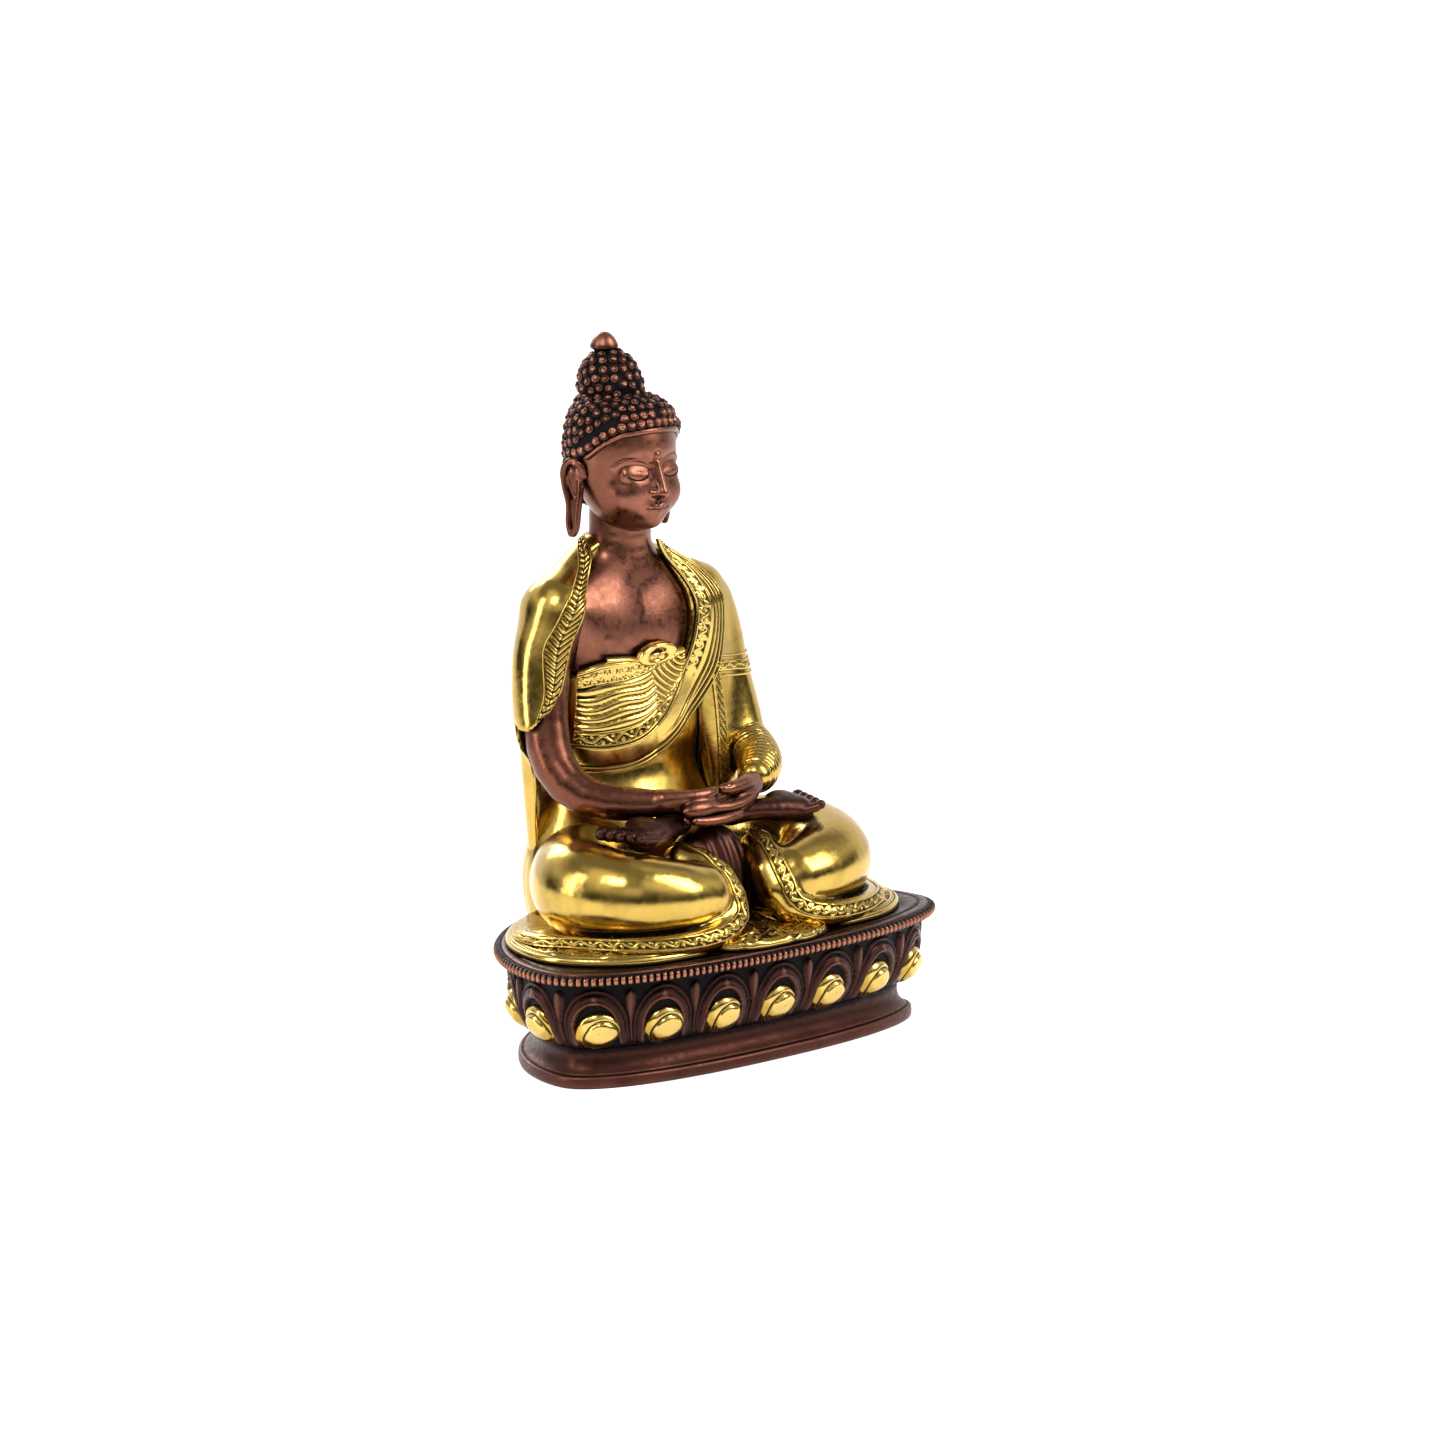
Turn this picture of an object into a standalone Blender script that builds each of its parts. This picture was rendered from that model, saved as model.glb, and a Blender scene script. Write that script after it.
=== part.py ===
"""Seated buddha statue on a lotus pedestal, cast in brass and copper.

The figure faces -Y and +Z is up. The origin is the centre of the statue's
bounding box, on the plane it stands on. Every separate casting is one object.
"""
from math import copysign, cos, pi, sin

import bmesh
import bpy
from mathutils import Vector

NAME = "seated_buddha"
MM = 0.001

# Clearance between two castings that meet
GAP = 0.0003

# Pedestal outline: a shallow front half and a deep back half share one widest line
HALF_WIDTH = 83 * MM
FRONT_DEPTH = 30 * MM
BACK_DEPTH = 70 * MM
WIDEST_Y = (FRONT_DEPTH - BACK_DEPTH) / 2
FRONT_POWER = 2.35
BACK_POWER = 1.85

# Pedestal heights, from the floor up
FLANGE_TOP = 4 * MM
FOOT_TOP = 12 * MM
DECK_BOTTOM = 34 * MM
DECK_TOP = 37.6 * MM
WALL = 3.5 * MM
PLINTH_INSET = 8 * MM
COVE_INSET = 13 * MM
WALL_TOP_INSET = 5.6 * MM
DECK_INSET = 3.2 * MM
COVER_THICKNESS = 1.2 * MM

# Lotus petals: one arch of relief with one brass boss each
PETALS = 17
PETAL_SHIFT = -2 * MM
PETAL_INSET = 4.6 * MM
COLUMNS_PER_PETAL = 6
ARCH_RELIEF = 1.9 * MM
BOSS_Z = 18.5 * MM
BOSS_HALF_WIDTH = 6.6 * MM
BOSS_HALF_HEIGHT = 6.0 * MM
BOSS_HALF_DEPTH = 3.6 * MM

# Threaded rod that holds the figure down on the deck
STUD_Y = 22 * MM
STUD_RADIUS = 2 * MM
STUD_BOTTOM = 27 * MM
STUD_TOP = 52 * MM
NUT_RADIUS = 4 * MM
NUT_HEIGHT = 3.2 * MM
WASHER_RADIUS = 6 * MM
WASHER_THICKNESS = 1 * MM

# Garment laid out on the deck under the crossed legs
HEM_BOTTOM = DECK_TOP + GAP
HEM_TOP = 40.4 * MM
SEAT_Z = HEM_TOP + GAP

# Figure heights
NECK_TOP = 163 * MM
FINIAL_TOP = 222.7 * MM
FINIAL_RADIUS = 4.2 * MM
FINIAL_Y = 39.6 * MM
USHNISHA_CENTRE = Vector((0, 37.5, 207)) * MM
USHNISHA_RADII = Vector((10.8, 10.8, 11.5)) * MM
CLOTH = 2.6 * MM
HAIR = 2.5 * MM

# Material: colour, roughness, metallic
COPPER = ("copper_skin", (0.30, 0.115, 0.06), 0.36, 1.0)
DARK_COPPER = ("dark_copper", (0.085, 0.03, 0.022), 0.42, 1.0)
HAIR_COPPER = ("hair_copper", (0.12, 0.05, 0.035), 0.45, 1.0)
BRASS = ("polished_brass", (0.72, 0.47, 0.12), 0.22, 1.0)
STEEL = ("plain_steel", (0.42, 0.42, 0.43), 0.38, 1.0)


def clear_scene():
    """Remove whatever the file holds and make the two collections."""
    for old in list(bpy.data.objects):
        bpy.data.objects.remove(old, do_unlink=True)
    for collection in list(bpy.data.collections):
        bpy.data.collections.remove(collection)
    made = []
    for name in (NAME, "cutters"):
        collection = bpy.data.collections.new(name)
        bpy.context.scene.collection.children.link(collection)
        made.append(collection)
    return made


def get_material(spec):
    name, colour, roughness, metallic = spec
    mat = bpy.data.materials.get(name)
    if mat is None:
        mat = bpy.data.materials.new(name)
        mat.use_nodes = True
        shader = mat.node_tree.nodes["Principled BSDF"]
        shader.inputs["Base Color"].default_value = (*colour, 1.0)
        shader.inputs["Roughness"].default_value = roughness
        shader.inputs["Metallic"].default_value = metallic
        mat.diffuse_color = (*colour, 1.0)
    return mat


def add_object(name, bm, spec):
    """Turn a bmesh into a piece, or into a hidden cutter when spec is None."""
    if bm.calc_volume(signed=True) < 0:
        bmesh.ops.reverse_faces(bm, faces=bm.faces)
    mesh = bpy.data.meshes.new(name)
    bm.to_mesh(mesh)
    bm.free()
    obj = bpy.data.objects.new(name, mesh)
    if spec is None:
        bpy.data.collections["cutters"].objects.link(obj)
        obj.hide_render = True
        obj.display_type = "WIRE"
        return obj
    bpy.data.collections[NAME].objects.link(obj)
    mesh.materials.append(get_material(spec))
    mesh.shade_smooth()
    mesh.set_sharp_from_angle(angle=pi / 4)
    return obj


def boolean(obj, other, operation):
    modifier = obj.modifiers.new(f"{operation}_{other.name}"[:60], "BOOLEAN")
    modifier.operation = operation
    modifier.solver = "EXACT"
    modifier.object = other


def bridge_rings(bm, rings, closed):
    """Skin rings of points; closed joins the last ring back to the first."""
    made = [[bm.verts.new(point) for point in ring] for ring in rings]
    pairs = list(zip(made, made[1:]))
    if closed:
        pairs.append((made[-1], made[0]))
    for low, high in pairs:
        for i in range(len(low)):
            j = (i + 1) % len(low)
            bm.faces.new((low[i], low[j], high[j], high[i]))
    if not closed:
        bm.faces.new(list(reversed(made[0])))
        bm.faces.new(made[-1])


# ---- Pedestal -------------------------------------------------------------

def outline_point(turn, inset):
    """A point of the pedestal outline at an angle, moved inward by inset."""
    c = cos(turn)
    s = sin(turn)
    front = s < 0
    power = 2 / (FRONT_POWER if front else BACK_POWER)
    depth = (FRONT_DEPTH if front else BACK_DEPTH) - inset
    x = (HALF_WIDTH - inset) * copysign(abs(c) ** power, c)
    y = WIDEST_Y + depth * copysign(abs(s) ** power, s)
    return Vector((x, y, 0))


def even_turns(count, inset, shift=0.0):
    """Angles that space count points evenly along the outline, from front centre."""
    fine = 1440
    turns = [-pi / 2 + 2 * pi * i / fine for i in range(fine + 1)]
    lengths = [0.0]
    for a, b in zip(turns, turns[1:]):
        step = (outline_point(b, inset) - outline_point(a, inset)).length
        lengths.append(lengths[-1] + step)
    result = []
    for k in range(count):
        target = (lengths[-1] * k / count + shift) % lengths[-1]
        i = max(j for j in range(fine) if lengths[j] <= target)
        part = (target - lengths[i]) / (lengths[i + 1] - lengths[i])
        result.append(turns[i] + part * (turns[i + 1] - turns[i]))
    return result


def outline_ring(turns, inset, z, relief=None):
    """One level ring of the pedestal; relief moves each point outward."""
    ring = []
    for i, turn in enumerate(turns):
        out = relief[i] if relief else 0.0
        point = outline_point(turn, inset - out)
        ring.append((point.x, point.y, z))
    return ring


def ring_body(name, profile, turns, spec):
    """Sweep a closed profile of (inset, height) round the pedestal outline."""
    bm = bmesh.new()
    bridge_rings(bm, [outline_ring(turns, inset, z) for inset, z in profile], True)
    return add_object(name, bm, spec)


def plate(name, inset, bottom, top, turns, spec):
    bm = bmesh.new()
    bridge_rings(bm, [outline_ring(turns, inset, z) for z in (bottom, top)], False)
    return add_object(name, bm, spec)


def upright_cylinder(name, radius, bottom, top, segments, spec):
    bm = bmesh.new()
    bmesh.ops.create_cone(bm, cap_ends=True, segments=segments, radius1=radius,
                          radius2=radius, depth=top - bottom)
    bmesh.ops.translate(bm, verts=bm.verts, vec=(0, STUD_Y, (top + bottom) / 2))
    return add_object(name, bm, spec)


def arch_height(across, up):
    """Relief of one petal: a raised horseshoe round the boss and a dart beside it."""
    radius = (across ** 2 + (0.8 * up) ** 2) ** 0.5
    arch = max(0.0, 1 - ((radius - 0.62) / 0.3) ** 2)
    dart = max(0.0, 1 - ((1 - across) / 0.22) ** 2) * max(0.0, up)
    return max(arch, dart)


def lotus_wall():
    """Wall between foot and deck, with a raised arch over every boss."""
    turns = even_turns(PETALS * COLUMNS_PER_PETAL, PETAL_INSET, PETAL_SHIFT)
    bottom = FOOT_TOP + GAP
    top = DECK_BOTTOM - GAP
    levels = 6
    outer = []
    for level in range(levels + 1):
        share = level / levels
        z = bottom + (top - bottom) * share
        inset = WALL_TOP_INSET + (COVE_INSET - 1.5 * MM - WALL_TOP_INSET) * (1 - share) ** 3
        relief = []
        for i in range(len(turns)):
            from_centre = (i / COLUMNS_PER_PETAL + 0.5) % 1 - 0.5
            up = (z - BOSS_Z) / (DECK_BOTTOM - BOSS_Z)
            edge = min(1.0, 4 * share, 6 * (1 - share))
            relief.append(ARCH_RELIEF * edge * arch_height(abs(2 * from_centre), up))
        outer.append(outline_ring(turns, inset, z, relief))
    inner_inset = COVE_INSET + WALL
    inner = [outline_ring(turns, inner_inset, z) for z in (top, bottom)]
    bm = bmesh.new()
    bridge_rings(bm, outer + inner, True)
    return add_object("lotus_wall", bm, DARK_COPPER)


def ball(name, centre, size, spec, segments=16, rings=10, turn=0.0):
    """An ellipsoid turned about the vertical."""
    bm = bmesh.new()
    bmesh.ops.create_uvsphere(bm, u_segments=segments, v_segments=rings, radius=1.0)
    for vert in bm.verts:
        vert.co = Vector((vert.co.x * size[0], vert.co.y * size[1], vert.co.z * size[2]))
        x = vert.co.x * cos(turn) - vert.co.y * sin(turn)
        y = vert.co.x * sin(turn) + vert.co.y * cos(turn)
        vert.co = Vector((x, y, vert.co.z)) + Vector(centre)
    return add_object(name, bm, spec)


def petal_bosses(wall):
    """One brass boss seated in a pocket of the wall under each arch."""
    turns = even_turns(PETALS, PETAL_INSET, PETAL_SHIFT)
    step = 0.01
    for number, turn in enumerate(turns, start=1):
        point = outline_point(turn, PETAL_INSET)
        along = outline_point(turn + step, PETAL_INSET) - outline_point(turn - step, PETAL_INSET)
        heading = Vector((1, 0)).angle_signed(Vector((along.x, along.y)))
        centre = (point.x, point.y, BOSS_Z)
        size = Vector((BOSS_HALF_WIDTH, BOSS_HALF_DEPTH, BOSS_HALF_HEIGHT))
        ball(f"petal_boss_{number:02d}", centre, size, BRASS, 10, 6, -heading)
        pocket = ball(f"pocket_{number:02d}", centre, size + Vector((GAP, GAP, GAP)) * 1.5,
                      None, 10, 6, -heading)
        boolean(wall, pocket, "DIFFERENCE")


def pedestal():
    turns = even_turns(60, 0.0)
    plinth = PLINTH_INSET
    inside = COVE_INSET + WALL
    foot = [(plinth + 0.6 * MM, 0), (plinth, 0.8 * MM), (plinth, FLANGE_TOP - 0.6 * MM),
            (plinth + 1 * MM, FLANGE_TOP), (COVE_INSET - 1 * MM, FLANGE_TOP + 1.5 * MM),
            (COVE_INSET, FLANGE_TOP + 4 * MM), (COVE_INSET - 0.4 * MM, FOOT_TOP),
            (inside, FOOT_TOP), (inside, 0)]
    ring_body("plinth_foot", foot, turns, DARK_COPPER)
    plate("base_cover_plate", inside + GAP, 0, COVER_THICKNESS, turns, COPPER)

    petal_bosses(lotus_wall())

    bead_height = DECK_TOP - 0.4 * MM - DECK_BOTTOM
    middle = DECK_BOTTOM + bead_height / 2
    bead = [(DECK_INSET, DECK_BOTTOM), (1 * MM, DECK_BOTTOM + 0.3 * MM), (0, middle),
            (1 * MM, DECK_BOTTOM + bead_height - 0.3 * MM),
            (DECK_INSET, DECK_BOTTOM + bead_height)]
    ring_body("bead_rim", bead, turns, DARK_COPPER)
    deck = plate("deck_plate", DECK_INSET + GAP, DECK_BOTTOM, DECK_TOP, turns, DARK_COPPER)
    hole = upright_cylinder("stud_clearance", STUD_RADIUS + GAP, STUD_BOTTOM,
                            STUD_TOP + GAP, 20, None)
    boolean(deck, hole, "DIFFERENCE")

    washer_top = DECK_BOTTOM - GAP
    nut_top = washer_top - WASHER_THICKNESS - GAP
    upright_cylinder("fixing_stud", STUD_RADIUS, STUD_BOTTOM, STUD_TOP, 20, STEEL)
    washer = upright_cylinder("fixing_washer", WASHER_RADIUS,
                              washer_top - WASHER_THICKNESS, washer_top, 24, STEEL)
    nut = upright_cylinder("fixing_nut", NUT_RADIUS, nut_top - NUT_HEIGHT, nut_top, 6, STEEL)
    boolean(washer, hole, "DIFFERENCE")
    boolean(nut, hole, "DIFFERENCE")
    return hole


# ---- Figure ---------------------------------------------------------------

def stack(name, stations, spec, grow=0.0, segments=20):
    """Skin level ellipses: each station is (z, centre x, centre y, half x, half y) in mm."""
    bm = bmesh.new()
    rings = []
    last = len(stations) - 1
    for i, (z, cx, cy, half_x, half_y) in enumerate(stations):
        lift = -grow if i == 0 else grow if i == last else 0.0
        ring = []
        for k in range(segments):
            turn = 2 * pi * (k + 0.5) / segments
            ring.append((cx * MM + (half_x * MM + grow) * cos(turn),
                         cy * MM + (half_y * MM + grow) * sin(turn), z * MM + lift))
        rings.append(ring)
    bridge_rings(bm, rings, False)
    return add_object(name, bm, spec)


def limb(name, stations, spec, grow=0.0, segments=14):
    """Skin a rounded limb: stations are (x, y, z, half side, half height) in mm."""
    centres = [Vector(s[:3]) * MM for s in stations]
    bm = bmesh.new()
    rings = []
    last = len(stations) - 1
    for i, station in enumerate(stations):
        along = (centres[min(i + 1, last)] - centres[max(i - 1, 0)]).normalized()
        up = Vector((0, 0, 1)) if abs(along.z) < 0.85 else Vector((0, -1, 0))
        side = along.cross(up).normalized()
        up = side.cross(along)
        half_side = station[3] * MM + grow
        half_up = station[4] * MM + grow
        ends = [(1.0, 0.0)]
        if i == 0:
            ends = [(0.45, -0.8), (0.85, -0.45), (1.0, 0.0)]
        elif i == last:
            ends = [(1.0, 0.0), (0.85, 0.45), (0.45, 0.8)]
        for scale, reach in ends:
            centre = centres[i] + along * reach * min(half_side, half_up)
            ring = []
            for k in range(segments):
                turn = 2 * pi * k / segments
                ring.append(centre + side * half_side * scale * cos(turn)
                            + up * half_up * scale * sin(turn))
            rings.append(ring)
    bridge_rings(bm, rings, False)
    return add_object(name, bm, spec)


def prism(name, outline, y0, y1, spec=None):
    """A block seen from the front: outline is (x, z) in mm, between two depths."""
    bm = bmesh.new()
    rings = [[(x * MM, y * MM, z * MM) for x, z in outline] for y in (y0, y1)]
    bridge_rings(bm, rings, False)
    return add_object(name, bm, spec)


def slab(name, outline, z0, z1, spec=None):
    """A block seen from above: outline is (x, y) in mm, between two heights in metres."""
    bm = bmesh.new()
    rings = [[(x * MM, y * MM, z) for x, y in outline] for z in (z0, z1)]
    bridge_rings(bm, rings, False)
    return add_object(name, bm, spec)


def mirrored(stations):
    return [(-s[0], *s[1:]) for s in stations]


TORSO = [(SEAT_Z / MM, 0, 27, 33, 20), (56, 0, 28, 32, 19), (70, 0, 31, 28.5, 15.5),
         (86, 0, 33, 26, 13.5), (100, 0, 33.5, 26, 13.2), (116, 0, 34, 27.5, 13.2),
         (130, 0, 34, 28, 13.2), (138, 0, 34, 26, 12.5), (143.5, 0, 33.8, 21, 11.3),
         (148, 0, 33.3, 15, 10.2), (153, 0, 32.8, 11.3, 9.3), (NECK_TOP / MM, 0, 32.4, 10.6, 9.1)]
HEAD = [(160.2, 0, 26.4, 5, 5), (162, 0, 26.8, 9, 8.4), (166.5, 0, 27.8, 13, 12.2),
        (173, 0, 29.4, 15.8, 15), (181, 0, 30.7, 17.1, 16.3), (189, 0, 31, 17.1, 16.4),
        (195.5, 0, 31.4, 15.4, 14.9), (200, 0, 32, 11.4, 11.4), (202.4, 0, 32.4, 5.5, 5.8)]
RIGHT_ARM = [(-29.5, 29, 136, 8, 8), (-34.2, 29, 123, 8, 8), (-37.8, 26, 106, 7.2, 7.4),
             (-40, 20, 91, 6.8, 7), (-37.5, 11, 82.5, 6.2, 6.4), (-29, 2, 79.3, 5.6, 5.8),
             (-19.5, -4.5, 78.5, 4.8, 4.6)]
LEG = [(-20, 22, 55.5, 12, 14), (-36, 12, 56, 15, 15.3), (-48, -5, 55.5, 15.4, 15.6),
       (-42, -19, 54, 13.6, 14.2), (-28, -26, 52.8, 11.3, 12.4), (-15.5, -28.5, 51.4, 9.4, 10.4)]
HAND = [(-15.5, -6.5, 79.4, 4.8, 3.2), (-8, -9.5, 79.6, 6.2, 2.9), (1, -11.5, 80, 6.4, 2.6),
        (9, -12, 80.6, 5, 2.2)]
FOOT = [(17, -8, 71.3, 4.6, 3.2), (27, -9.5, 72.2, 5.2, 3.4), (37, -10, 71.6, 5.6, 3)]
EAR = [(-18.4, 33, 160, 1.4, 2.2), (-18.9, 32.6, 168, 1.5, 2.8), (-19.4, 32.4, 176, 1.7, 4),
       (-19.6, 32.8, 183, 1.6, 3.4)]

SHAWL = [(-29.5, 29, 136, 8, 8), (-34.2, 29, 123, 8, 8), (-37, 27, 107, 6.9, 7.2),
         (-38.2, 25.5, 99.5, 5.6, 6)]
LEFT_SLEEVE = [(29.5, 29, 136, 9, 9), (34.2, 29, 123, 9, 9), (36.6, 26, 106, 8.4, 9),
               (38.6, 19.5, 90, 8.8, 9), (36, 9, 83.5, 8, 8.6)]
LEFT_CUFF = [(33.5, 3.5, 82.8, 7.4, 8), (25.5, -2.5, 81.2, 6.4, 7)]
LEFT_HAND = [(20, -7, 80.3, 4.4, 3.2), (13.5, -9, 77.6, 5.4, 2.4), (4, -12, 76, 6, 1.7),
             (-8, -14, 75.6, 4.8, 1.4)]

CHEST_OPENING = [(-11, 158), (-23, 144), (-31, 130), (-31, 118.5), (14, 118.5), (16.5, 125),
                 (18, 133), (17, 140), (13.5, 147), (8, 158)]
UNDER_ROBE = [(-26, 118), (14, 118), (13, 115), (7.7, 108), (1.5, 101), (-7, 96), (-18, 94.5),
              (-26, 94.5)]
WAIST = [(-26, 94.1), (-18, 94.1), (-6.8, 95.6), (1.8, 100.6), (8.1, 107.6), (13.4, 114.6),
         (17, 114.6), (17, 66), (-26, 66)]
SHAWL_FRONT = [(-11, 165), (-25, 141.5), (-31, 128), (-37, 114), (-44, 107), (-50, 98),
               (-60, 92), (-60, 60), (5, 60), (5, 165)]
HEM_HALF = [(0, -46.5), (-12, -45.5), (-22, -41), (-27, -37.5), (-36, -39.5), (-50, -37),
            (-64, -30), (-72, -19), (-73.5, -6), (-68, 10), (-56, 24), (-38, 35), (-18, 40)]
LAP = [(-13, -25), (13, -25), (16, -8), (16, 6), (-16, 6), (-16, -8)]
LAP_TOP = 62 * MM
NECK_SPACE = [(-14, 20), (14, 20), (14, 46), (-14, 46)]
# What the cap of hair leaves bare, seen from the front: the face, and the neck below the nape
BELOW_HAIRLINE = [(-40, 150), (40, 150), (40, 196), (-40, 196)]
BELOW_NAPE = [(-40, 150), (40, 150), (40, 172), (-40, 172)]


def widened(shape, margin):
    """An outline in mm moved outward by a margin, corners kept sharp."""
    points = [Vector(p) for p in shape]
    area = sum(a.cross(b) for a, b in zip(points, points[1:] + points[:1]))
    out = margin if area > 0 else -margin
    result = []
    for before, here, after in zip(points[-1:] + points[:-1], points, points[1:] + points[:1]):
        first = (here - before).normalized()
        second = (after - here).normalized()
        normal = Vector((first.y + second.y, -first.x - second.x))
        result.append(here + normal * out / (1 + first.dot(second)))
    return result


def torso_and_robes(hole):
    """Bare copper trunk with the garment fitted round it as separate shells."""
    torso = stack("torso", TORSO, COPPER)
    boolean(torso, hole, "DIFFERENCE")
    skin = stack("torso_clearance", TORSO, None, GAP)
    front = -12
    middle = 33
    outer = CLOTH + GAP

    for name, shape in (("under_robe", UNDER_ROBE), ("waist_wrap", WAIST)):
        panel = stack(name, TORSO, BRASS, outer)
        boolean(panel, skin, "DIFFERENCE")
        boolean(panel, prism(f"{name}_outline", shape, front, middle), "INTERSECT")

    robe = stack("robe_body", TORSO[1:10], BRASS, outer)
    boolean(robe, skin, "DIFFERENCE")
    for name, shape in (("chest_cut", CHEST_OPENING), ("under_robe_cut", UNDER_ROBE),
                        ("waist_cut", WAIST)):
        cut = prism(name, widened(shape, GAP / MM), front, middle + GAP / MM)
        boolean(robe, cut, "DIFFERENCE")
    return stack("robe_clearance", TORSO[:10], None, outer + GAP)


def arms_and_shawl(robe_space):
    arm = limb("right_arm", RIGHT_ARM, COPPER)
    boolean(arm, robe_space, "DIFFERENCE")
    shawl = limb("shawl_right", SHAWL, BRASS, CLOTH + GAP)
    boolean(shawl, limb("arm_clearance", RIGHT_ARM, None, GAP), "DIFFERENCE")
    boolean(shawl, robe_space, "DIFFERENCE")
    boolean(shawl, prism("shawl_front", SHAWL_FRONT, -20, 28), "DIFFERENCE")
    sleeve = limb("left_sleeve", LEFT_SLEEVE, BRASS)
    boolean(sleeve, robe_space, "DIFFERENCE")
    cuff = limb("left_cuff", LEFT_CUFF, BRASS)
    boolean(cuff, limb("sleeve_clearance", LEFT_SLEEVE, None, GAP), "DIFFERENCE")
    boolean(cuff, robe_space, "DIFFERENCE")
    right = limb("right_hand", HAND, COPPER)
    boolean(right, limb("wrist_clearance", RIGHT_ARM, None, GAP), "DIFFERENCE")
    left = limb("left_hand", LEFT_HAND, COPPER)
    boolean(left, limb("cuff_clearance", LEFT_CUFF, None, GAP), "DIFFERENCE")
    boolean(left, limb("right_hand_clearance", HAND, None, GAP), "DIFFERENCE")
    boolean(left, limb("wrist_clearance_left", RIGHT_ARM, None, GAP), "DIFFERENCE")


def legs_and_hem(robe_space, hole):
    """Crossed legs under polished cloth, the feet on them and the hem below."""
    floor = slab("below_seat", [(-90, -60), (90, -60), (90, 60), (-90, 60)], 0, SEAT_Z)
    legs_space = []
    for name, stations in (("right_leg", LEG), ("left_leg", mirrored(LEG))):
        leg = limb(name, stations, BRASS)
        boolean(leg, floor, "DIFFERENCE")
        boolean(leg, robe_space, "DIFFERENCE")
        legs_space.append(limb(f"{name}_clearance", stations, None, GAP))
    for name, stations in (("right_foot", FOOT), ("left_foot", mirrored(FOOT))):
        foot = limb(name, stations, COPPER)
        for space in legs_space:
            boolean(foot, space, "DIFFERENCE")
    lap = slab("lap_panel", LAP, SEAT_Z, LAP_TOP, COPPER)
    for space in legs_space:
        boolean(lap, space, "DIFFERENCE")
    boolean(lap, robe_space, "DIFFERENCE")
    outline = HEM_HALF + [(-x, y) for x, y in reversed(HEM_HALF[1:])]
    hem = slab("hem_apron", outline, HEM_BOTTOM, HEM_TOP, BRASS)
    boolean(hem, hole, "DIFFERENCE")


def head():
    """Head with its ears, the cap of curls, the crown bump and the finial."""
    skull = stack("head", HEAD, COPPER)
    neck = slab("neck_clearance", NECK_SPACE, 150 * MM, NECK_TOP + GAP)
    boolean(skull, neck, "DIFFERENCE")
    boolean(skull, stack("neck_space", TORSO, None, GAP), "DIFFERENCE")
    cap = stack("hair_cap", HEAD[2:], HAIR_COPPER, HAIR)
    boolean(cap, stack("head_clearance", HEAD, None, GAP), "DIFFERENCE")
    boolean(cap, prism("below_hairline", BELOW_HAIRLINE, -5, 24), "DIFFERENCE")
    boolean(cap, prism("below_nape", BELOW_NAPE, 20, 60), "DIFFERENCE")
    bump = ball("ushnisha", USHNISHA_CENTRE, USHNISHA_RADII, HAIR_COPPER, 20, 14)
    boolean(bump, stack("cap_clearance", HEAD[2:], None, HAIR + GAP), "DIFFERENCE")
    knob = ball("finial", (0, FINIAL_Y, FINIAL_TOP - FINIAL_RADIUS), [FINIAL_RADIUS] * 3,
                HAIR_COPPER)
    bump_space = USHNISHA_RADII + Vector((GAP, GAP, GAP))
    boolean(knob, ball("ushnisha_clearance", USHNISHA_CENTRE, bump_space, None, 20, 14),
            "DIFFERENCE")
    for name, stations in (("right_ear", EAR), ("left_ear", mirrored(EAR))):
        ear = limb(name, stations, COPPER, segments=12)
        boolean(ear, stack(f"{name}_head_space", HEAD, None, GAP), "DIFFERENCE")
        boolean(ear, stack(f"{name}_hair_space", HEAD[2:], None, HAIR + GAP), "DIFFERENCE")


def build():
    clear_scene()
    hole = pedestal()
    robe_space = torso_and_robes(hole)
    arms_and_shawl(robe_space)
    legs_and_hem(robe_space, hole)
    head()


if __name__ == "__main__":
    build()
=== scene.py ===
"""Seated buddha statue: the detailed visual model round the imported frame.

Every length is in millimetres until a mesh is made. The figure faces -Y, +Z is up,
+X is the figure's left. Soft forms are signed distance fields, negative inside,
skinned by surface nets; turned and cast borders are swept grids.
"""
import functools
import math

import bpy
import numpy as np
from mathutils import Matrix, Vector


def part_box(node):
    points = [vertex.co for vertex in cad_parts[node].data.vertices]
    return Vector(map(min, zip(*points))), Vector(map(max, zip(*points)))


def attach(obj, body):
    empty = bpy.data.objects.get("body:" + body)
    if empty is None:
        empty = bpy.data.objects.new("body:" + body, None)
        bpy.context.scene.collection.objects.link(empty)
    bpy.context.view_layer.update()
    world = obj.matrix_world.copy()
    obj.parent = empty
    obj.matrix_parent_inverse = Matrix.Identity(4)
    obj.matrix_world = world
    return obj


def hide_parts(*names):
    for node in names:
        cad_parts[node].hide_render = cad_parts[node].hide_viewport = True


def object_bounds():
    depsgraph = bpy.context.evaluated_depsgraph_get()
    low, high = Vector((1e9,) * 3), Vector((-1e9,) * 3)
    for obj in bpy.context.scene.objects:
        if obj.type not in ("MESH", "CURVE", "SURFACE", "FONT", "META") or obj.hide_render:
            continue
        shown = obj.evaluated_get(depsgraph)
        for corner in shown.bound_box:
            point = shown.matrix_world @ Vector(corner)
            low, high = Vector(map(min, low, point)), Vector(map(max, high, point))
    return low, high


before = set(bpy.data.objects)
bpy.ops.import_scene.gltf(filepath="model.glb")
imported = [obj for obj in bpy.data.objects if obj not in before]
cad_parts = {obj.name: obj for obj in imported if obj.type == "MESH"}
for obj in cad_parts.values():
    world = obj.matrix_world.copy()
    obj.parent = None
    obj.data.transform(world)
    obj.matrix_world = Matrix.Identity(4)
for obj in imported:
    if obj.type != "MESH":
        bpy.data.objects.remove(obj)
cad_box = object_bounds()

MM = 0.001
BODY = "root"
rng = np.random.default_rng(7)


# ---- Sizes read from the frame --------------------------------------------------------------

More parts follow.
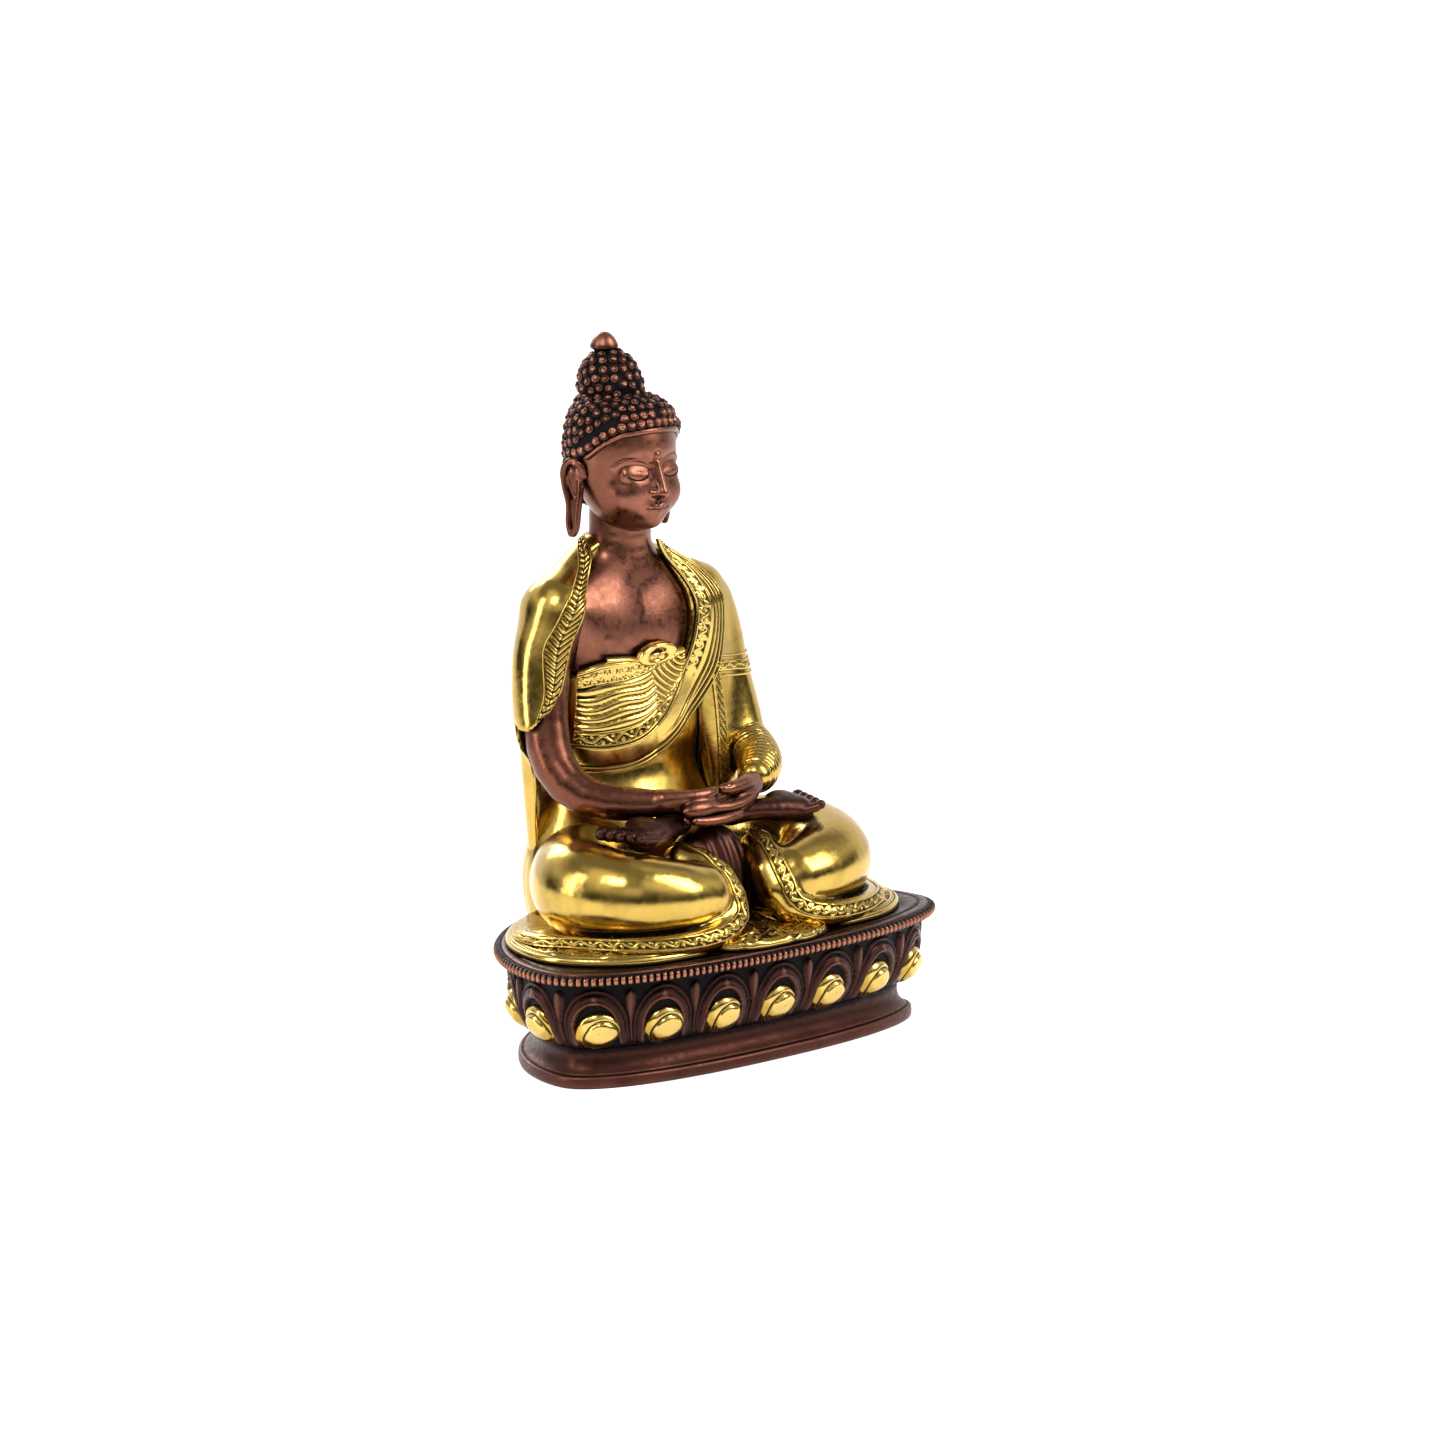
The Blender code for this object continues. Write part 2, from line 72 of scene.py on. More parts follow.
def node_box(name):
    """Lowest and highest corner of a CAD node, in mm."""
    low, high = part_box(name)
    return np.array(low) / MM, np.array(high) / MM


rim_low, rim_high = node_box("bead_rim")
wall_low, wall_high = node_box("lotus_wall")
_, foot_high = node_box("plinth_foot")
deck_low, deck_high = node_box("deck_plate")
head_low, _ = node_box("head")
DECK_Z = deck_high[2]


# ---- Curves and small maths -----------------------------------------------------------------

def smoothstep(low, high, x):
    t = np.clip((x - low) / (high - low), 0.0, 1.0)
    return t * t * (3 - 2 * t)


def bump(x, width):
    return np.exp(-(x / width) ** 2)


def spline(points, count):
    """Catmull-Rom through the points, resampled to count evenly spaced points."""
    points = np.asarray(points, float)
    ends = np.vstack([2 * points[0] - points[1], points, 2 * points[-1] - points[-2]])
    t = np.linspace(0, 1, 24, endpoint=False)[:, None]
    dense = []
    for a, b, c, d in zip(ends, ends[1:], ends[2:], ends[3:]):
        dense.append(0.5 * (2 * b + (c - a) * t + (2 * a - 5 * b + 4 * c - d) * t ** 2
                            + (3 * b - a - 3 * c + d) * t ** 3))
    dense = np.vstack(dense + [points[-1:]])
    length = np.r_[0, np.cumsum(np.linalg.norm(np.diff(dense[:, :3], axis=0), axis=1))]
    at = np.linspace(0, length[-1], count)
    return np.stack([np.interp(at, length, dense[:, i]) for i in range(points.shape[1])], 1)


def unit(v):
    return v / np.maximum(np.linalg.norm(v, axis=-1, keepdims=True), 1e-9)


# ---- Signed distance fields -----------------------------------------------------------------

def ellipsoid(p, centre, radii, turn=None):
    q = p - np.asarray(centre, float)
    if turn is not None:
        q = q @ turn
    radii = np.asarray(radii, float)
    k0 = np.linalg.norm(q / radii, axis=-1)
    k1 = np.linalg.norm(q / radii ** 2, axis=-1)
    return k0 * (k0 - 1) / np.maximum(k1, 1e-6)


def cone(p, a, b, ra, rb):
    """Round-ended cone from a to b."""
    a = np.asarray(a, float)
    ab = np.asarray(b, float) - a
    q = p - a
    h = np.clip(q @ ab / (ab @ ab), 0, 1)
    square = np.einsum("ij,ij->i", q, q) + h * (h * (ab @ ab) - 2 * (q @ ab))
    return np.sqrt(np.maximum(square, 0)) - (ra + (rb - ra) * h)


def limb(p, stations, count=14, flat=None):
    """A smooth limb through (x, y, z, radius) stations; flat squeezes along an axis."""
    path = spline(stations, count)
    if flat is not None:
        axis, factor = flat
        axis = unit(np.asarray(axis, float))
        squeeze = np.eye(3) + (factor - 1) * np.outer(axis, axis)
        p = p @ squeeze
        path = np.c_[path[:, :3] @ squeeze, path[:, 3]]
    d = np.full(len(p), 1e9)
    for a, b in zip(path, path[1:]):
        d = np.minimum(d, cone(p, a[:3], b[:3], a[3], b[3]))
    return d


def join(a, b, k=1.0):
    """Union with a fillet of size k."""
    h = np.maximum(k - np.abs(a - b), 0) / k
    return np.minimum(a, b) - h * h * k / 4


def cut(a, b, k=0.5):
    """a without b, with a softened edge."""
    return -join(-a, b, k)


def path_distance(p, path):
    """Distance from points to a polyline."""
    d = np.full(len(p), 1e9)
    for a, b in zip(path, path[1:]):
        d = np.minimum(d, cone(p, a, b, 0, 0))
    return d


def ridge(p, path, width, height, count=7):
    """How far a line along the path lifts the surface; negative height engraves."""
    d = path_distance(p, spline(path, count))
    return height * np.exp(-(d / width) ** 2)


# ---- Meshing --------------------------------------------------------------------------------

def sample(field, low, high, step):
    """Field values on a grid, worked out only near the surface."""
    coarse = 4
    counts = np.ceil((np.asarray(high) - low) / (step * coarse)).astype(int) + 1
    axes = [low[i] + step * coarse * np.arange(counts[i]) for i in range(3)]
    rough = field(np.stack(np.meshgrid(*axes, indexing="ij"), -1).reshape(-1, 3))
    rough = rough.reshape(counts)
    for axis in range(3):
        rough = np.repeat(rough, coarse, axis)
    axes = [low[i] + step * np.arange(counts[i] * coarse) for i in range(3)]
    near = np.abs(rough) < step * coarse * 2.2
    where = np.argwhere(near)
    values = rough.astype(float)
    values[near] = field(np.asarray(low) + where * step)
    for axis in range(3):
        for end in (0, -1):
            face_values = np.moveaxis(values, axis, 0)[end]
            np.maximum(face_values, 0.01, out=face_values)
    return values


def surface_nets(values, low, step):
    """Vertices and quads of the zero surface of a grid of values."""
    size = np.array(values.shape)
    flat_size = int(size.prod())
    stride = np.array([size[1] * size[2], size[2], 1])
    sums = np.zeros((flat_size, 3))
    hits = np.zeros(flat_size)
    quads = []
    for axis in range(3):
        first = np.moveaxis(values, axis, 0)
        a, b = first[:-1], first[1:]
        where = np.argwhere((a < 0) != (b < 0))
        start = a[tuple(where.T)]
        t = start / (start - b[tuple(where.T)])
        index = np.zeros((len(where), 3), int)
        others = [i for i in range(3) if i != axis]
        index[:, axis] = where[:, 0]
        index[:, others[0]] = where[:, 1]
        index[:, others[1]] = where[:, 2]
        point = index.astype(float)
        point[:, axis] += t
        corners = []
        for du, dv in ((0, 0), (-1, 0), (-1, -1), (0, -1)):
            cell = index.copy()
            cell[:, others[0]] += du
            cell[:, others[1]] += dv
            flat = cell @ stride
            corners.append(flat)
            for i in range(3):
                sums[:, i] += np.bincount(flat, point[:, i], flat_size)
            hits += np.bincount(flat, minlength=flat_size)
        quad = np.stack(corners, 1)
        flip = (start < 0) == (axis == 1)
        quad[flip] = quad[flip][:, ::-1]
        quads.append(quad)
    used = np.flatnonzero(hits)
    number = np.full(flat_size, -1)
    number[used] = np.arange(len(used))
    verts = np.asarray(low) + step * sums[used] / hits[used, None]
    return verts, number[np.vstack(quads)]


def gradient(field, p, h=0.06):
    """Gradient from four samples at the corners of a tetrahedron."""
    g = np.zeros_like(p)
    for corner in ((1, -1, -1), (-1, -1, 1), (-1, 1, -1), (1, 1, 1)):
        corner = np.array(corner, float)
        g += field(p + corner * h)[:, None] * corner
    return g / (4 * h)


def settle(field, p, steps=3, level=0.0):
    """Move points onto the surface of a field."""
    for _ in range(steps):
        g = gradient(field, p)
        size = np.maximum((g * g).sum(1, keepdims=True), 0.2)
        p = p - g * np.clip((field(p) - level)[:, None] / size, -0.6, 0.6)
    return p


def smooth_quads(verts, quads, rounds, share=0.5):
    """Move each vertex towards the middle of its quads."""
    for _ in range(rounds):
        middle = verts[quads].mean(1)
        total = np.zeros_like(verts)
        hits = np.bincount(quads.ravel(), minlength=len(verts))
        for i in range(3):
            total[:, i] = np.bincount(quads.ravel(), np.repeat(middle[:, i], 4), len(verts))
        verts = verts + share * (total / np.maximum(hits, 1)[:, None] - verts)
    return verts


# ---- Blender objects ------------------------------------------------------------------------

def new_mesh(name, verts, quads, material, dark=None, tone=None):
    """A smooth piece, with its patina, rubbed spots, painted shade and painted highlights stored
    per vertex.
    """
    mesh = bpy.data.meshes.new(name)
    verts = np.asarray(verts, float) * MM
    quads = np.asarray(quads, int)
    mesh.vertices.add(len(verts))
    mesh.vertices.foreach_set("co", verts.ravel())
    mesh.loops.add(quads.size)
    mesh.loops.foreach_set("vertex_index", quads.ravel())
    mesh.polygons.add(len(quads))
    mesh.polygons.foreach_set("loop_start", np.arange(len(quads)) * 4)
    mesh.polygons.foreach_set("use_smooth", np.ones(len(quads), bool))
    mesh.update(calc_edges=True)
    mesh.validate()
    for label, value in (("dark", dark), ("tone", tone)):
        layer = mesh.attributes.new(label, "FLOAT", "POINT")
        value = np.zeros(len(verts)) if value is None else np.asarray(value, float).ravel()
        layer.data.foreach_set("value", value.astype(np.float32))
    mesh.materials.append(material)
    obj = bpy.data.objects.new(name, mesh)
    bpy.context.scene.collection.objects.link(obj)
    return obj


def grid_quads(rows, columns, wrap_rows=False, wrap_columns=True):
    r = np.arange(rows if wrap_rows else rows - 1)
    c = np.arange(columns if wrap_columns else columns - 1)
    r, c = np.meshgrid(r, c, indexing="ij")
    r2, c2 = (r + 1) % rows, (c + 1) % columns
    return np.stack([r * columns + c, r * columns + c2, r2 * columns + c2,
                     r2 * columns + c], -1).reshape(-1, 4)


def finish_piece(obj, nodes):
    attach(obj, BODY)
    if nodes:
        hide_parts(*nodes)
    return obj


# ---- Materials ------------------------------------------------------------------------------

def metal(name, clean, worn_and_lit_colour, patina, rough, patina_and_shade_rough=0.5, mottle=0.35, bump=0.12,
          patina_and_shade_metal=0.55):
    """Cast metal: mottled colour, lighter on rubbed high spots and painted highlights, with patina
    colour over stains, patina in recesses and painted shade in hollows.
    """
    mat = bpy.data.materials.new(name)
    mat.use_nodes = True
    tree = mat.node_tree
    shader = tree.nodes["Principled BSDF"]

    def add(kind, **settings):
        made = tree.nodes.new(kind)
        for key, value in settings.items():
            setattr(made, key, value)
        return made

    def put(socket, value):
        if isinstance(value, bpy.types.NodeSocket):
            tree.links.new(value, socket)
        else:
            socket.default_value = value

    def noise(scale, detail, roughness=0.55):
        made = add("ShaderNodeTexNoise")
        put(made.inputs["Vector"], place.outputs["Object"])
        made.inputs["Scale"].default_value = scale
        made.inputs["Detail"].default_value = detail
        made.inputs["Roughness"].default_value = roughness
        return made.outputs["Fac"]

    def maths(operation, a, b):
        made = add("ShaderNodeMath", operation=operation)
        put(made.inputs[0], a)
        put(made.inputs[1], b)
        return made.outputs[0]

    def remap(value, low, high, to_low=0.0, to_high=1.0):
        made = add("ShaderNodeMapRange", interpolation_type="SMOOTHSTEP")
        for socket, given in zip(made.inputs, (value, low, high, to_low, to_high)):
            put(socket, given)
        return made.outputs[0]

    def mix(share, a, b):
        made = add("ShaderNodeMix", data_type="RGBA")
        put(made.inputs[0], share)
        put(made.inputs[6], a)
        put(made.inputs[7], b)
        return made.outputs[2]

    place = add("ShaderNodeTexCoord")
    dark = add("ShaderNodeAttribute", attribute_name="dark").outputs["Fac"]
    tone = add("ShaderNodeAttribute", attribute_name="tone").outputs["Fac"]
    broad = noise(55, 4)
    fine = noise(520, 6, 0.65)
    speck = noise(1900, 3)

    # tone carries rubbed high spots and painted highlights
    wear_and_highlight = maths("ADD", tone, maths("MULTIPLY", maths("SUBTRACT", broad, 0.5), mottle))
    colour = mix(remap(wear_and_highlight, 0.0, 0.8), (*clean, 1), (*worn_and_lit_colour, 1))
    rough_edge = maths("MULTIPLY", maths("SUBTRACT", fine, 0.5), remap(dark, 0.1, 0.5, 0, 0.22))
    # dark carries patina in recesses and engraved lines, and painted shade where fields close in;
    # both take the patina colour
    shade_and_patina = maths("ADD", dark, rough_edge)
    shade_and_patina = remap(shade_and_patina, 0.22, 0.72)
    stain = maths("MULTIPLY", remap(noise(70, 3, 0.6), 0.45, 0.8), 0.7 * mottle)
    cover = maths("MAXIMUM", shade_and_patina, stain)
    put(shader.inputs["Base Color"], mix(cover, colour, (*patina, 1)))
    put(shader.inputs["Metallic"], remap(cover, 0, 1, 1.0, patina_and_shade_metal))
    polish = remap(fine, 0.3, 0.7, rough * 0.8, rough * 1.35)
    rougher = maths("ADD", polish, maths("MULTIPLY", cover, patina_and_shade_rough - rough))
    put(shader.inputs["Roughness"], rougher)

    shader.inputs["Specular IOR Level"].default_value = 0.06
    relief = add("ShaderNodeBump")
    relief.inputs["Strength"].default_value = bump
    relief.inputs["Distance"].default_value = 0.0004
    put(relief.inputs["Height"], maths("ADD", fine, maths("MULTIPLY", speck, 0.35)))
    put(shader.inputs["Normal"], relief.outputs["Normal"])
    return mat


BRASS = metal("polished_brass", (0.47, 0.298, 0.054), (0.67, 0.465, 0.13),
              (0.020, 0.012, 0.005), 0.17, bump=0.10)
SKIN = metal("copper_skin", (0.096, 0.032, 0.019), (0.25, 0.096, 0.060), (0.010, 0.005, 0.004),
             0.29, mottle=0.55)
HAIR_METAL = metal("hair_copper", (0.070, 0.027, 0.019), (0.38, 0.155, 0.09),
                   (0.006, 0.005, 0.006), 0.32, mottle=0.4, patina_and_shade_metal=0.35)
UMBER = metal("dark_copper", (0.038, 0.015, 0.012), (0.15, 0.056, 0.038), (0.008, 0.006, 0.006),
              0.33, mottle=0.4, patina_and_shade_metal=0.5)
PLINTH = metal("plinth_copper", (0.056, 0.020, 0.014), (0.14, 0.052, 0.036),
               (0.009, 0.006, 0.007), 0.40, mottle=0.6)
STEEL = metal("zinc_steel", (0.42, 0.42, 0.40), (0.62, 0.62, 0.60), (0.07, 0.06, 0.05), 0.34)


# ---- Pedestal -------------------------------------------------------------------------------

HALF_WIDTH = (rim_high[0] - rim_low[0]) / 2
FRONT_SHARE = 0.3
WIDEST_Y = rim_low[1] + FRONT_SHARE * (rim_high[1] - rim_low[1])
FRONT_DEPTH = WIDEST_Y - rim_low[1]
BACK_DEPTH = rim_high[1] - WIDEST_Y
FRONT_POWER = 2.35
BACK_POWER = 1.85
PETALS = 17
PETAL_SHIFT = -2.0
PETAL_INSET = 4.6
BEAD_PITCH = 2.35
COLUMNS_PER_BEAD = 10
BEAD_INSET = 0.8
# Inset of the hidden back of the wall and the foot
WALL_BACK = 17


def outline(turn, inset):
    """Points of the pedestal outline at angles, moved inward by inset."""
    c, s = np.cos(turn), np.sin(turn)
    power = 2 / np.where(s < 0, FRONT_POWER, BACK_POWER)
    depth = np.where(s < 0, FRONT_DEPTH, BACK_DEPTH) - inset
    x = (HALF_WIDTH - inset) * np.sign(c) * np.abs(c) ** power
    return np.stack([x, WIDEST_Y + depth * np.sign(s) * np.abs(s) ** power], -1)


def even_turns(count, inset=0.0, shift=0.0):
    """Angles that space count points evenly along the outline, from front centre."""
    fine = np.linspace(-math.pi / 2, 1.5 * math.pi, 5761)
    steps = np.linalg.norm(np.diff(outline(fine, inset), axis=0), axis=1)
    length = np.r_[0, np.cumsum(steps)]
    target = (length[-1] * np.arange(count) / count + shift) % length[-1]
    return np.interp(target, length, fine), length[-1]


def swept(turns, rows):
    """Rings of the outline: rows are (inset, z), each a number or one value a column."""
    rings = []
    for inset, z in rows:
        flat = outline(turns, np.broadcast_to(inset, turns.shape))
        rings.append(np.c_[flat, np.broadcast_to(z, turns.shape)])
    return np.stack(rings)


def lotus_relief(across, up, half_pitch):
    """Height in mm of the cast petal relief, from the middle of its boss."""
    rise = np.where(up > 0, up * 0.8, 0.0)
    radius = np.hypot(across, rise) + np.where(up < 0, 0.05 * up, 0)
    side = np.abs(across)
    plate = smoothstep(9.9, 9.2, radius) * smoothstep(6.8, 7.3, radius)
    keel = bump(across, 0.8) * smoothstep(4, 9, up)
    step = 0.25 * smoothstep(8.1, 7.8, radius)
    lip = np.clip(1 - ((radius - 10.5) / 0.6) ** 2, 0, 1) ** 0.5
    relief = np.maximum(1.2 * plate * (1 + 0.4 * keel + step), 0.9 * lip)
    gap = half_pitch - side
    stem = 0.35 + 1.75 * smoothstep(1.5, 9.5, up)
    tip = np.clip(1 - ((up - 10.0) / 2.9) ** 2, 0, 1) ** 0.5
    width = np.where(up > 10.0, 2.1 * tip, stem)
    dart = np.clip(1 - (gap / np.maximum(width, 0.05)) ** 2, 0, 1) ** 0.5
    dart = dart * smoothstep(-6, -3, up) * (width > 0.06)
    return np.maximum(relief, 1.5 * dart)


WALL_HEIGHT = wall_high[2] - wall_low[2]
BOSS_Z = wall_low[2] + 0.29 * WALL_HEIGHT


def wall_inset(z):
    """How far the wall stands in from the outline; it tucks in towards the foot."""
    return 5.8 + 5.7 * np.clip((wall_high[2] - z) / WALL_HEIGHT, 0, 1) ** 3


def pedestal_wall():
    columns = 44
    turns, length = even_turns(PETALS * columns, PETAL_INSET, PETAL_SHIFT)
    pitch = length / PETALS
    across = ((np.arange(PETALS * columns) / columns + 0.5) % 1 - 0.5) * pitch
    rows, dark, tone = [], [], []
    low, high = wall_low[2], wall_high[2]
    for share in np.linspace(0, 1, 56):
        z = low + WALL_HEIGHT * share
        edge = smoothstep(0, 0.06, share) * smoothstep(1, 0.93, share)
        relief = lotus_relief(across, z - BOSS_Z, pitch / 2) * edge
        rows.append((wall_inset(z) - relief, z))
        dark.append(0.9 - 0.9 * smoothstep(0.1, 1.1, relief))
        tone.append(smoothstep(1.1, 1.9, relief))
    for inset, z in ((9, high), (WALL_BACK, high), (WALL_BACK, low)):
        rows.append((inset, z))
        dark.append(np.ones_like(turns))
        tone.append(np.zeros_like(turns))
    verts = swept(turns, rows)
    quads = grid_quads(len(rows), len(turns), wrap_rows=True)
    piece = new_mesh("lotus_petals", verts.reshape(-1, 3), quads, UMBER, np.stack(dark),
                     np.stack(tone))
    return finish_piece(piece, ["lotus_wall"])


def petal_bosses():
    """Brass petal tips: a flattened plate rolled over an off-centre dome."""
    turns, _ = even_turns(PETALS, PETAL_INSET, PETAL_SHIFT)
    rows, columns = 22, 48
    radius = np.sin(np.linspace(0.02, math.pi / 2, rows))[:, None]
    angle = np.linspace(0, 2 * np.pi, columns, endpoint=False)[None]
    across, up = radius * np.cos(angle), radius * np.sin(angle)
    for number, turn in enumerate(turns, start=1):
        base = np.r_[outline(turn, wall_inset(BOSS_Z)), BOSS_Z]
        ahead = outline(turn + 0.01, PETAL_INSET) - outline(turn - 0.01, PETAL_INSET)
        along = np.r_[unit(ahead), 0]
        out = np.array([along[1], -along[0], 0])
        lean = 0.08 * np.sin(3.1 * number)
        inner = np.hypot((across - 0.14 - lean) * (1 + 0.12 * up), up + 0.17)
        plate = 3.3 * np.sqrt(np.clip(1 - radius ** 3, 0, 1))
        dome = 1.35 * np.sqrt(np.clip(1 - (inner / 0.74) ** 2, 0, 1))
        seam = bump(inner - 0.77, 0.05) * smoothstep(0.99, 0.9, radius)
        hammer = 0.22 * np.sin(5 * across + 2 * number) * np.sin(4.3 * up + number)
        depth = plate + dome - 0.55 * seam + hammer * (1 - radius ** 2) - 0.4
        egg = (1 - 0.07 * np.sin(angle) ** 3 + 0.035 * np.sin(2 * angle + 1.7 * number)
               + 0.025 * np.sin(5 * angle + number))
        verts = base + (7.0 * across * egg)[..., None] * along
        verts[..., 2] += 6.5 * up
        depth = depth + wall_inset(BOSS_Z) - wall_inset(verts[..., 2])
        verts = verts + depth[..., None] * out
        # Painted shadow: the outer edge and the rim rows behind it are dark as the gap behind the
        # boss; the groove round the dome is darkened too
        dark = np.clip(0.9 * seam + smoothstep(0.985, 1.0, radius), 0, 1)
        tone = smoothstep(1.5, 3.6, depth)
        rim = verts[-1:] - 2.0 * out
        back = rim.mean(1, keepdims=True) + 0 * rim
        verts = np.concatenate([verts, rim, back])
        dark = np.concatenate([dark, np.ones((2, columns))])
        tone = np.concatenate([tone, np.zeros((2, columns))])
        piece = new_mesh(f"boss_{number:02d}", verts.reshape(-1, 3),
                         grid_quads(rows + 2, columns), BRASS, dark, tone)
        finish_piece(piece, [f"petal_boss_{number:02d}"])


def bead_rim():
    """Row of small beads under the deck's edge, between two plain fillets."""
    _, length = even_turns(8, BEAD_INSET)
    beads = round(length / BEAD_PITCH)
    columns = beads * COLUMNS_PER_BEAD
    turns, _ = even_turns(columns, BEAD_INSET)
    phase = (np.arange(columns) / COLUMNS_PER_BEAD + 0.5) % 1 - 0.5
    bead = np.sqrt(np.clip(1 - (phase / 0.47) ** 2, 0, 1))
    low, high = rim_low[2], rim_high[2]
    middle, half = (low + high) / 2, (high - low) / 2
    rows, dark, tone = [], [], []
    for share in np.linspace(-1, 1, 15):
        profile = math.sqrt(max(0.0, 1 - share ** 2))
        inset = 1.75 - 1.7 * profile * bead
        rows.append((np.maximum(inset, 0.0), middle + half * share))
        height = profile * bead
        dark.append(1 - smoothstep(0.25, 0.75, height))
        tone.append(smoothstep(0.6, 1.0, height))
    rows.append((3.4, high))
    rows.append((3.4, low))
    for _ in range(2):
        dark.append(np.ones(columns))
        tone.append(np.zeros(columns))
    piece = new_mesh("beaded_rim", swept(turns, rows).reshape(-1, 3),
                     grid_quads(len(rows), columns, wrap_rows=True), HAIR_METAL, np.stack(dark),
                     np.stack(tone))
    return finish_piece(piece, ["bead_rim"])


def plain_sweep(name, profile, material, nodes, columns=360):
    """A smooth moulding: profile rows are (inset, z, dark, tone)."""
    turns, _ = even_turns(columns)
    profile = np.array(profile)
    verts = swept(turns, [(row[0], row[1]) for row in profile])
    dark = np.repeat(profile[:, 2:3], columns, 1)
    tone = np.repeat(profile[:, 3:4], columns, 1)
    quads = grid_quads(len(profile), columns, wrap_rows=True)
    piece = new_mesh(name, verts.reshape(-1, 3), quads, material, dark, tone)
    return finish_piece(piece, nodes)


def deck():
    top = deck_high[2]
    rows = [(3.3, deck_low[2], 1, 0), (2.9, deck_low[2], 1, 0), (2.7, top - 0.5, 0.6, 0.2),
            (2.9, top - 0.15, 0.1, 0.9), (3.3, top, 0.0, 0.8), (4.2, top, 0.2, 0.2),
            (5.3, top, 0.4, 0.1), (5.6, top - 0.3, 1, 0), (5.9, top - 0.32, 1, 0),
            (6.2, top, 0.5, 0.2), (7.5, top, 0.25, 0.2), (10, top, 0.4, 0), (14, top, 0.7, 0),
            (20, top, 0.9, 0), (29, top, 1, 0)]
    return plain_sweep("deck", rows, UMBER, ["deck_plate"])


def foot():
    z = foot_high[2]
    rows = [(WALL_BACK, 0.0, 1, 0), (8.7, 0.0, 1, 0), (8.25, 0.15, 0.6, 0.3), (8.0, 0.7, 0.1, 0.5),
            (7.95, 1.5, 0.0, 0.3), (8.0, 2.6, 0.0, 0.3), (8.1, 3.3, 0.0, 0.7),
            (8.5, 3.75, 0.0, 1.0), (9.1, 3.85, 0.3, 0.5), (9.35, 3.7, 1, 0),
            (9.6, 3.75, 0.9, 0), (9.9, 4.2, 0.3, 0.6), (10.5, 4.6, 0.1, 0.4),
            (11.4, 5.3, 0.1, 0.2), (12.3, 6.4, 0.2, 0.1), (12.9, 8.0, 0.25, 0.05),
            (13.1, 9.6, 0.35, 0.0), (12.8, 11.0, 0.7, 0.0), (12.2, z, 1, 0),
            (WALL_BACK, z, 1, 0)]
    return plain_sweep("plinth", rows, PLINTH, ["plinth_foot"])


def kept_parts():
    """The cover plate and its fixings keep their modelled shape."""
    for name in ("base_cover_plate", "fixing_stud", "fixing_washer", "fixing_nut"):
        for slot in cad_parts[name].material_slots:
            slot.material = PLINTH if name == "base_cover_plate" else STEEL


# ---- Figure: fields -------------------------------------------------------------------------
# Level sections of the trunk: height, middle in Y, half width, half depth
TRUNK = np.array([(30, 27, 33, 20), (41, 27, 33, 20), (56, 28, 32, 19), (70, 31, 28.5, 15.5),
                  (86, 33, 26, 13.5), (100, 33.5, 26, 13.2), (116, 34, 27.5, 13.5),
                  (128, 34, 28, 13.5), (137, 34, 25.5, 12.5), (143, 33.8, 20.5, 11.3),
                  (148, 33.3, 15, 10.2), (153, 32.8, 11.3, 9.3), (160, 32.5, 10.6, 9.1),
                  (170, 32.3, 10.6, 9.1)])
RIGHT_ARM = np.array([(-28.5, 29, 135.5, 8.2), (-34.2, 29, 123, 8.0), (-37.8, 26, 106, 7.2),
                      (-39.6, 20.5, 92, 6.9), (-37.5, 11, 82.8, 6.4), (-29, 2, 79.6, 5.7),
                      (-19.5, -4.8, 79.2, 4.4), (-14.5, -7.6, 79.6, 3.9)])
LEG = np.array([(-18, 24, 55, 13.5), (-35, 13, 56, 15.2), (-47, -3, 55.4, 15.6),
                (-43.5, -17.5, 54.4, 14.6), (-32, -24.5, 53.6, 12.8), (-21, -26.5, 53, 10.8)])
TRUNK = spline(TRUNK, 300)
CLOTH = 2.3


def mirror(points):
    return np.asarray(points) * np.array([-1] + [1] * (np.shape(points)[1] - 1))


def fold(p):
    """Points with X made positive, for shapes alike on both sides."""
    return np.c_[np.abs(p[:, 0]), p[:, 1:]]


def stack(p, fine):
    """A body of level elliptical sections: height, middle in Y, half width, half depth."""
    middle, half_x, half_y = (np.interp(p[:, 2], fine[:, 0], fine[:, i]) for i in (1, 2, 3))
    q = np.stack([p[:, 0], p[:, 1] - middle], 1)
    radii = np.stack([half_x, half_y], 1)
    k0 = np.linalg.norm(q / radii, axis=1)
    k1 = np.linalg.norm(q / radii ** 2, axis=1)
    return k0 * (k0 - 1) / np.maximum(k1, 1e-6)


def torso(p):
    """Bare trunk with shoulders and a full chest."""
    q = fold(p)
    body = stack(p, TRUNK)
    body = join(body, cone(q, (6, 33, 146), (27, 30, 137.5), 6.0, 7.6), 9)
    body = join(body, ellipsoid(q, (11.5, 26.8, 126.5), (13.5, 6.5, 11)), 10)
    body = join(body, ellipsoid(q, (6, 27, 98), (17, 9, 17)), 8)
    return body + ridge(p, [(0, 20.5, 139), (0, 19.2, 128), (0, 20.3, 117)], 3.0, 0.12)


def neck_lines(p):
    ring = spline([(-9, 27, 155), (0, 23.4, 153.6), (9, 27, 155)], 12)
    upper = ring + np.array([0, 0.2, 4.2])
    d = np.minimum(path_distance(p, ring), path_distance(p, upper))
    return 0.28 * np.exp(-(d / 0.45) ** 2)


